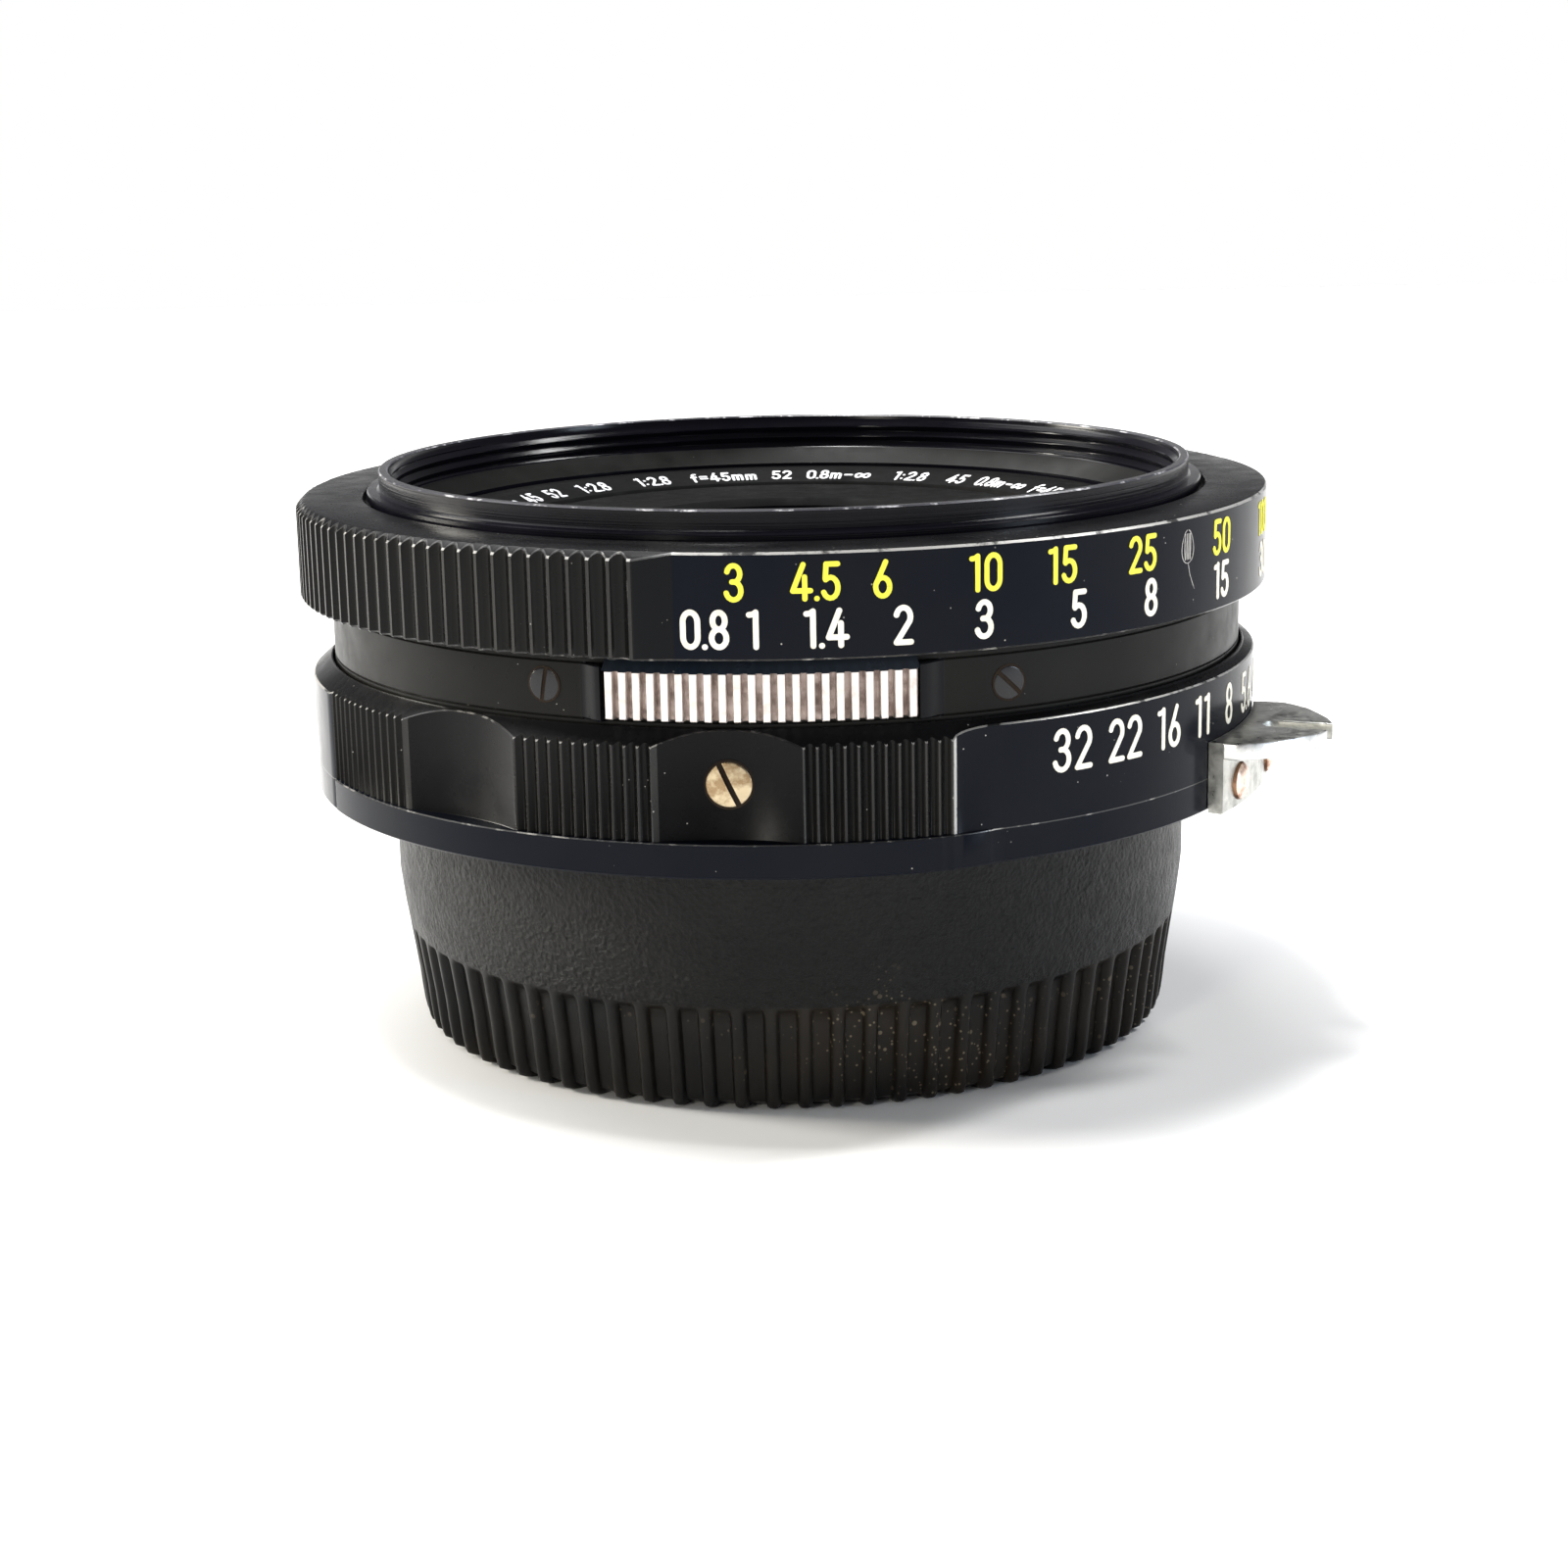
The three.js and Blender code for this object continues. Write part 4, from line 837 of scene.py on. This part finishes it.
# ------------------------------------------------------------------ focus ring
def focus_outline():
    corners = []
    first, second = FOCUS_KNURLS

    def ridges(ends):
        count = round((ends[1] - ends[0]) / FOCUS_PITCH)
        pitch = (ends[1] - ends[0]) / count
        for i in range(count + 1):
            start = ends[0] + i * pitch
            corners.append((start - 0.06, FOCUS_KNURL_RADIUS - 0.04, "edge"))
            corners.append((start, FOCUS_KNURL_RADIUS, "ridge"))
            corners.append((start + 0.34, FOCUS_KNURL_RADIUS, "groove"))
            if i == count:
                break
            for share in (0.2, 0.32, 0.45, 0.6, 0.75, 0.88):
                depth = 0.36 * math.sin(math.pi * min(1.0, (share - 0.14) / 0.82)) ** 0.7
                corners.append((start + share * pitch, FOCUS_KNURL_RADIUS - depth, "groove"))

    def band(start, end, steps):
        for i in range(4):
            share = i / 4
            azimuth = start + 0.5 + share * (FOCUS_RAMP - 0.5)
            corners.append((azimuth, FOCUS_KNURL_RADIUS - 0.35 * share, "ramp"))
        for i in range(steps + 1):
            azimuth = start + FOCUS_RAMP + (end - start - 2 * FOCUS_RAMP) * i / steps
            corners.append((azimuth, FOCUS_BAND_RADIUS, "band"))
        for i in range(1, 4):
            share = i / 4
            azimuth = end - FOCUS_RAMP + share * FOCUS_RAMP
            corners.append((azimuth, FOCUS_BAND_RADIUS + 0.35 * share, "ramp"))

    ridges(first)
    band(first[1], second[0], 90)
    ridges(second)
    band(second[1], first[0] + 360, 60)
    return corners


focus_corners = focus_outline()
focus_radius = {azimuth: radius for azimuth, radius, kind in focus_corners}
focus_kinds = sorted((azimuth, kind) for azimuth, radius, kind in focus_corners)


def focus_section(azimuth):
    radius = focus_radius[azimuth]
    cone = 34.75 + (FOCUS_KNURL_RADIUS - radius)
    return [(29.25, FOCUS_BOTTOM), (radius - 0.12, FOCUS_BOTTOM), (radius, FOCUS_BOTTOM + 0.12),
            (radius, cone - 0.07), (radius - 0.12, cone + 0.07),
            (min(31.5, radius - 0.15), FOCUS_TOP - 0.04), (31.35, FOCUS_TOP), (27.78, FOCUS_TOP),
            (27.7, FOCUS_TOP - 0.08), (27.7, 34.6), (27.0, 34.6), (27.0, 30.4), (29.25, 30.4)]


def focus_paint(j, azimuth):
    kind = "band"
    for start, name in focus_kinds:
        if start > azimuth:
            break
        kind = name
    # The top and bottom chamfers take the bright edge finishes: partly real wear, partly painted highlight
    # lines.
    if j == 3:
        return 3 if kind in ("band", "edge", "ridge") else 4
    if j == 1:
        return 4
    # Ridge tops take the lighter ridge tone as a painted highlight.
    if j == 2:
        return {"edge": 4, "ridge": 5, "groove": 1, "band": 2, "ramp": 6}[kind]
    return 0


focus = swept("focus_ring_body", sorted(focus_radius), focus_section,
              [BLACK, KNURL_BLACK, BAND_BLACK, EDGE, EDGE_FAINT, RIDGE_HIGHLIGHT, GLOSS], focus_paint)
own(focus, "focus_ring", "focus_black", "focus_ring")


# ------------------------------------------------------------------ filter ring, name ring, cell, glass
THREAD_PITCH = 0.75
THREAD_LEVELS = [36.3 - 0.075 * i for i in range(24)]


def filter_section(azimuth):
    points = [(24.0, 31.5), (24.9, 31.5), (24.9, 33.5), (26.4, 33.5), (26.4, 34.95), (27.3, 34.95),
              (27.4, 35.02), (27.4, 35.5), (27.32, 35.6), (26.75, 35.62), (26.6, 35.72), (26.6, 36.76),
              (26.52, 36.85), (26.08, 36.85), (26.0, 36.78), (25.95, 36.5)]
    for height in THREAD_LEVELS:
        phase = ((height + THREAD_PITCH * azimuth / 360.0) / THREAD_PITCH) % 1.0
        points.append((25.62 + 0.28 * abs(2 * phase - 1), height))
    points += [(25.55, 34.55), (25.5, 34.5), (24.0, 33.5)]
    return points


def filter_paint(j, _azimuth):
    # The top chamfers take the bright front edge finish: partly real wear, partly a painted highlight line.
    if j in (11, 13):
        return 1
    return 2 if j == len(THREAD_LEVELS) + 17 else 0


filter_ring = swept("filter_ring_body", even(300), filter_section, [FRONT_BLACK, EDGE_FRONT, BARREL_BLACK],
                    filter_paint, sharp=25.0)
own(filter_ring, "lens_unit", "filter_black", "filter_ring")

name_ring = turned("name_ring_body", [
    (18.6, 31.8), (23.7, 31.8), (23.7, 33.2), (23.6, 33.3), (21.4, 33.42), (21.2, 33.4), (19.1, 32.72),
    (19.0, 32.6),
], MATT, 200)
own(name_ring, "lens_unit", "matt_black", "name_ring")

front_cell = turned("front_cell_body", [
    (9.2, 26.6), (12.6, 26.6), (12.6, 29.4), (22.2, 29.4), (22.2, 30.6), (18.3, 30.6), (18.3, 32.5),
    (18.2, 32.6), (11.0, 32.6), (10.85, 32.5), (10.5, 32.1), (10.6, 31.9), (10.2, 31.6), (10.3, 31.4),
    (10.1, 31.3), (10.9, 31.2),
    (10.9, 27.0), (9.2, 27.0),
], MATT, 200)
own(front_cell, "lens_unit", "matt_black", "front_cell")


def element(name, radius, back, front, node):
    """A glass whose back and front faces run from a centre height to an edge height as a parabola.
    Each face is given as (edge height, centre height)."""
    steps = 10
    profile = []
    for i in range(steps + 1):
        share = i / steps
        profile.append((radius * share, back[0] + (back[1] - back[0]) * (1 - share * share)))
    for i in range(steps, -1, -1):
        share = i / steps
        profile.append((radius * share, front[0] + (front[1] - front[0]) * (1 - share * share)))
    piece = turned(name, profile, GLASS, 96, 40.0)
    own(piece, "lens_unit", "coated_glass", node)


element("front_glass", 10.6, (29.1, 29.3), (30.7, 32.2), "front_element")
element("second_glass", 10.6, (27.1, 27.5), (28.5, 28.1), "second_element")
element("rear_glass_front", 8.6, (18.75, 20.25), (21.1, 20.75), "rear_doublet_front")
element("rear_glass_back", 8.6, (18.1, 17.3), (18.7, 20.2), "rear_doublet_back")


# ------------------------------------------------------------------ painted figures
def arc_points(cx, cy, rx, ry, start, end, steps=14):
    points = []
    for i in range(steps + 1):
        angle = math.radians(start + (end - start) * i / steps)
        points.append((cx + rx * math.cos(angle), cy + ry * math.sin(angle)))
    return points


TOP = 0.935
BASE = 0.065


def infinity_points():
    """A flat figure of eight on its side."""
    points = []
    for step in range(37):
        angle = step * math.pi / 18
        shrink = 1 + math.sin(angle) ** 2
        across = 0.475 + 0.38 * math.cos(angle) / shrink
        points.append((across, 0.42 + 0.62 * math.sin(angle) * math.cos(angle) / shrink))
    return points


# Each figure: its width and its strokes, in units of the figure height.
GLYPHS = {
    "0": (0.50, [arc_points(0.25, 0.69, 0.185, 0.245, 0, 180)
                 + arc_points(0.25, 0.31, 0.185, 0.245, 180, 360) + [(0.435, 0.69)]]),
    "1": (0.34, [[(0.07, 0.875), (0.16, 0.885), (0.235, TOP)], [(0.235, TOP), (0.235, BASE)]]),
    "2": (0.50, [arc_points(0.25, 0.70, 0.18, 0.235, 165, -28), [(0.41, 0.59), (0.07, BASE)],
                 [(0.07, BASE), (0.445, BASE)]]),
    "3": (0.50, [arc_points(0.24, 0.725, 0.165, 0.21, 165, -75),
                 arc_points(0.235, 0.295, 0.19, 0.23, 78, -165), [(0.2, 0.52), (0.275, 0.52)]]),
    "4": (0.56, [[(0.33, TOP), (0.06, 0.27)], [(0.06, 0.27), (0.51, 0.27)],
                 [(0.365, 0.62), (0.365, BASE)]]),
    "5": (0.50, [[(0.42, TOP), (0.13, TOP)], [(0.13, TOP), (0.105, 0.56)],
                 arc_points(0.235, 0.33, 0.19, 0.265, 128, -155)]),
    "6": (0.50, [[(0.33, TOP), (0.095, 0.40)], arc_points(0.25, 0.30, 0.18, 0.235, 0, 360, 22)]),
    "8": (0.50, [arc_points(0.25, 0.725, 0.155, 0.21, 0, 360, 22),
                 arc_points(0.25, 0.29, 0.185, 0.225, 0, 360, 22)]),
    ".": (0.05, [[(0.022, BASE), (0.028, BASE)]]),
    ":": (0.22, [[(0.1, 0.2), (0.106, 0.2)], [(0.1, 0.62), (0.106, 0.62)]]),
    "=": (0.5, [[(0.08, 0.38), (0.42, 0.38)], [(0.08, 0.62), (0.42, 0.62)]]),
    "-": (0.5, [[(0.08, 0.48), (0.42, 0.48)]]),
    "f": (0.36, [arc_points(0.27, 0.78, 0.13, 0.155, 70, 180) + [(0.14, BASE)],
                 [(0.04, 0.6), (0.28, 0.6)]]),
    "m": (0.66, [[(0.07, 0.62), (0.07, BASE)], arc_points(0.19, 0.48, 0.12, 0.14, 180, 0) + [(0.31, BASE)],
                 arc_points(0.43, 0.48, 0.12, 0.14, 180, 0) + [(0.55, BASE)]]),
    "~": (0.95, [infinity_points()]),
}
LETTER_GAP = 0.085


def stroke_mesh(points, width, lift, thickness):
    """A flat rounded stroke as rows of four corners: two on top, then two below, across the stroke."""
    rows = []
    count = len(points)
    directions = []
    for i in range(count):
        before = points[max(0, i - 1)]
        after = points[min(count - 1, i + 1)]
        length = math.hypot(after[0] - before[0], after[1] - before[1]) or 1.0
        directions.append(((after[0] - before[0]) / length, (after[1] - before[1]) / length))
    half = width / 2
    stations = []
    for step in range(4):
        angle = math.pi / 2 * step / 4
        back = half * math.cos(angle)
        x = points[0][0] - directions[0][0] * back
        y = points[0][1] - directions[0][1] * back
        stations.append((x, y, directions[0], half * math.sin(angle) + 0.001))
    for point, direction in zip(points, directions):
        stations.append((*point, direction, half))
    for step in range(3, -1, -1):
        angle = math.pi / 2 * step / 4
        ahead = half * math.cos(angle)
        x = points[-1][0] + directions[-1][0] * ahead
        y = points[-1][1] + directions[-1][1] * ahead
        stations.append((x, y, directions[-1], half * math.sin(angle) + 0.001))
    for x, y, (dx, dy), reach in stations:
        left = (x - dy * reach, y + dx * reach)
        right = (x + dy * reach, y - dx * reach)
        rows.append([(*left, lift), (*right, lift), (*right, lift - thickness), (*left, lift - thickness)])
    return rows


def add_stroke(verts, faces, rows, wrap, place):
    """Adds one closed stroke to a mesh. wrap turns (place, across, up, out) into a point."""
    first = len(verts)
    for row in rows:
        verts.extend(wrap(place, *corner) for corner in row)
    for i in range(len(rows) - 1):
        for j in range(4):
            a = first + 4 * i + j
            b = first + 4 * i + (j + 1) % 4
            faces.append((a, b, b + 4, a + 4))
    last = first + 4 * (len(rows) - 1)
    faces.append((first, first + 3, first + 2, first + 1))
    faces.append((last, last + 1, last + 2, last + 3))


def split_long(points, longest):
    """The same line with points no further apart than about the given length."""
    dense = []
    for (ax, ay), (bx, by) in zip(points, points[1:]):
        pieces = max(1, int(math.hypot(bx - ax, by - ay) / longest))
        dense += [(ax + (bx - ax) * i / pieces, ay + (by - ay) * i / pieces) for i in range(pieces)]
    dense.append(points[-1])
    return dense


def lettering(name, labels, material, stroke, wrap):
    """Strokes of all labels as one object, each label a (text, place, size)."""
    verts = []
    faces = []
    for text, place, size in labels:
        width = sum(GLYPHS[letter][0] for letter in text) + LETTER_GAP * (len(text) - 1)
        cursor = -width / 2
        layer = 0
        for letter in text:
            advance, strokes = GLYPHS[letter]
            for points in strokes:
                layer += 1
                # crossing strokes lie at slightly different heights, so that no two faces coincide
                lift = 0.022 + 0.0025 * (layer % 7)
                shifted = [((cursor + x) * size, (y - 0.5) * size) for x, y in points]
                rows = stroke_mesh(split_long(shifted, 0.3), stroke, lift, 0.05)
                add_stroke(verts, faces, rows, wrap, place)
            cursor += advance + LETTER_GAP
    return make_object(name, verts, faces, [material])


def on_side(radius, centre_height):
    """Wraps figures on a round side."""
    def wrap(azimuth, across, up, out):
        return point_on(radius + out, azimuth + math.degrees(across / radius), centre_height + up)
    return wrap


focus_feet = lettering("focus_scale_feet", [(text, place, 2.2) for text, place in FEET_ROW], YELLOW, 0.3,
                       on_side(FOCUS_BAND_RADIUS, 33.5))
own(focus_feet, "focus_ring", "focus_black")
focus_metres = lettering("focus_scale_metres", [(text, place, 2.25) for text, place in METRE_ROW], CREAM,
                         0.33, on_side(FOCUS_BAND_RADIUS, 30.85))
own(focus_metres, "focus_ring", "focus_black")
stops = lettering("aperture_scale", [(text, place - 0.15, 2.65) for text, place in STOP_ROW], CREAM, 0.33,
                  on_side(APERTURE_BAND_RADIUS, 22.5))
own(stops, "aperture_ring", "aperture_black")


NAME_SLOPE = [(19.1, 32.72), (21.2, 33.4)]
NAME_LINE_RADIUS = 20.15


def on_name_ring(azimuth, across, up, out):
    """Wraps figures on the sloping name ring with their tops outwards."""
    radius = NAME_LINE_RADIUS + up
    (inner, low), (outer, high) = NAME_SLOPE
    slope = (high - low) / (outer - inner)
    height = low + (radius - inner) * slope + out
    return point_on(radius, azimuth - math.degrees(across / NAME_LINE_RADIUS), height)


NAME_GROUPS = ["1:2.8", "f=45mm", "52", "0.8m-~", "1:2.8", "45", "0.8m-~", "f=45mm", "1:2.8", "52",
               "f=45mm", "45", "52", "1:2.8"]
NAME_DEGREES_PER_FIGURE = 2.3
NAME_START = 214.0
NAME_SIZE = 1.35


def name_labels():
    """Figures all round the name ring, close together like engraving."""
    texts = NAME_GROUPS * 2
    widths = [NAME_DEGREES_PER_FIGURE * len(text) for text in texts]
    gap = (360.0 - sum(widths)) / len(texts)
    labels = []
    edge = NAME_START
    for text, width in zip(texts, widths):
        labels.append((text, edge - width / 2, NAME_SIZE))
        edge -= width + gap
    return labels


name_text = lettering("name_ring_figures", name_labels(), WHITE, 0.2, on_name_ring)
own(name_text, "lens_unit", "matt_black")

INDEX_AZIMUTH = 86.0
INDEX_HEIGHT = 26.9
INDEX_STRETCH = 3.6


def upright_on_barrel(azimuth, across, up, out):
    """Stands a dash upright on the barrel, stretched along the lens axis."""
    turn = math.degrees(up / BARREL_RADIUS)
    return point_on(BARREL_RADIUS + out, azimuth + turn, INDEX_HEIGHT + INDEX_STRETCH * across)


index_marks = lettering("index_marks", [("-", INDEX_AZIMUTH, 1.0)], WHITE, 0.3, upright_on_barrel)
own(index_marks, "barrel", "barrel_black")


# ------------------------------------------------------------------ wear marks on the focus ring
def scratch_strokes():
    """A dented loop with short lines in it and a tail, as (kind, points)."""
    strokes = []
    loop = arc_points(0, 0, 0.62, 1.0, 100, 440, 20)
    strokes.append(("loop", [(x * (1.0 - 0.2 * y), y) for x, y in loop]))
    for shift in (-0.35, -0.12, 0.1, 0.3):
        line = [(shift * (1 - 0.3 * abs(y)), y) for y in (-0.75, -0.3, 0.2, 0.75)]
        strokes.append(("line", line))
    strokes.append(("tail", [(0.05, -1.0), (0.25, -1.7), (0.75, -2.6)]))
    return strokes


def scratches(name, centre_azimuth, centre_height, radius):
    verts = []
    faces = []
    wrap = on_side(radius, centre_height)
    for kind, points in scratch_strokes():
        width = 0.075 if kind == "line" else 0.05
        rows = stroke_mesh(points, width, 0.012, 0.04)
        add_stroke(verts, faces, rows, wrap, centre_azimuth)
    return make_object(name, verts, faces, [SCRATCH])


own(scratches("focus_ring_ding", 48.9, 33.4, FOCUS_BAND_RADIUS), "focus_ring", "focus_black")

# ------------------------------------------------------------------ carried-over CAD nodes
CARRIED = [
    (STEEL, ["stop_down_lever", "stop_down_spring", "click_ball", "click_spring", "focus_ring_screw_1",
             "focus_ring_screw_2", "focus_ring_screw_3"]),
    (MATT, ["light_baffle", "element_spacer", "diaphragm_housing", "rear_cell", "rear_retaining_ring"]),
    (BRASS, ["helicoid_key_1", "helicoid_key_2", "focus_helicoid", "lens_barrel", "iris_drive_ring"]),
    (BLADE, [f"iris_blade_{number}" for number in range(1, 8)]),
]
for material, names in CARRIED:
    for name in names:
        node = nodes[name]
        if not node.material_slots:
            node.data.materials.append(material)
        for place in node.material_slots:
            place.material = material

# ------------------------------------------------------------------ stage, lights and camera
floor_look = Nodes("pale_floor")
floor_look.link(floor_look.mixed(floor_look.noise(0.004, 2.0), (0.86, 0.86, 0.86), (0.9, 0.9, 0.9)),
                floor_look.shader.inputs["Base Color"])
floor_look.set(Roughness=0.7, Specular_IOR_Level=0.1)
FLOOR_HALF = 0.8
FLOOR_CORNERS = [(-FLOOR_HALF, -FLOOR_HALF, 0), (FLOOR_HALF, -FLOOR_HALF, 0),
                 (FLOOR_HALF, FLOOR_HALF, 0), (-FLOOR_HALF, FLOOR_HALF, 0)]
floor = make_object("floor", FLOOR_CORNERS, [(0, 1, 2, 3)], [floor_look.material])

world = bpy.data.worlds.new("studio")
bpy.context.scene.world = world
world.use_nodes = True
sky = world.node_tree
direction = sky.nodes.new("ShaderNodeTexCoord")
parts = sky.nodes.new("ShaderNodeSeparateXYZ")
fade = sky.nodes.new("ShaderNodeValToRGB")
sky.links.new(direction.outputs["Generated"], parts.inputs["Vector"])
sky.links.new(parts.outputs["Z"], fade.inputs["Fac"])
sky.links.new(fade.outputs["Color"], sky.nodes["Background"].inputs["Color"])
fade.color_ramp.elements[0].position = 0.07
fade.color_ramp.elements[0].color = (1.0, 1.0, 1.0, 1.0)
fade.color_ramp.elements[1].position = 0.13
fade.color_ramp.elements[1].color = (0.16, 0.16, 0.17, 1.0)
sky.nodes["Background"].inputs["Strength"].default_value = 1.0
bpy.context.scene.view_settings.view_transform = "Standard"

sun = bpy.data.lights.new("sun", "SUN")
sun.energy = 2.4
sun.angle = math.radians(50)
sun_object = bpy.data.objects.new("sun", sun)
sun_object.rotation_euler = (math.radians(-25), math.radians(-20), 0)
bpy.context.scene.collection.objects.link(sun_object)


def softbox(name, place, size, power, target=(0.0, 0.0, 0.02), colour=(1.0, 1.0, 1.0)):
    light = bpy.data.lights.new(name, "AREA")
    light.shape = "RECTANGLE"
    light.size = size[0]
    light.size_y = size[1]
    light.energy = power
    light.color = colour
    obj = bpy.data.objects.new(name, light)
    obj.location = place
    direction = Vector(target) - Vector(place)
    obj.rotation_euler = direction.to_track_quat("-Z", "Y").to_euler()
    bpy.context.scene.collection.objects.link(obj)


WARM = (1.0, 0.96, 0.86)
softbox("window", (-0.8, 0.2, 0.3), (0.25, 0.3), 11.0, colour=WARM)
softbox("overhead", (-0.12, 0.02, 0.8), (0.16, 0.1), 4.0)
softbox("top_right", (0.4, 0.12, 0.6), (0.08, 0.2), 3.0)
softbox("front_window", (-0.45, -0.75, 0.3), (0.12, 0.3), 2.0, colour=WARM)
softbox("right_fill", (0.65, -0.3, 0.14), (0.16, 0.16), 1.4, colour=(0.72, 0.85, 1.0))

FOCAL_PIXELS = 2800.76
FRAME_PIXELS = 1600
SENSOR = 36.0
PITCH = 0.2323
ROLL = -0.0194
camera_data = bpy.data.cameras.new("camera")
camera_data.sensor_width = SENSOR
camera_data.lens = SENSOR * FOCAL_PIXELS / FRAME_PIXELS
camera_data.shift_x = -5.5 / FRAME_PIXELS
camera_data.shift_y = -6.4 / FRAME_PIXELS
camera_data.clip_start = 0.01
camera_data.clip_end = 20.0
camera = bpy.data.objects.new("camera", camera_data)
bpy.context.scene.collection.objects.link(camera)
forward = Vector((0.0, math.cos(PITCH), -math.sin(PITCH)))
level_right = Vector((1.0, 0.0, 0.0))
level_up = Vector((0.0, math.sin(PITCH), math.cos(PITCH)))
right = level_right * math.cos(ROLL) + level_up * math.sin(ROLL)
up = level_up * math.cos(ROLL) - level_right * math.sin(ROLL)
pose = Matrix.Identity(4)
for column, axis in enumerate((right, up, -forward)):
    for row in range(3):
        pose[row][column] = axis[row]
pose.translation = Vector((0.0, -0.182, 0.05794))
camera.matrix_world = pose
bpy.context.scene.camera = camera
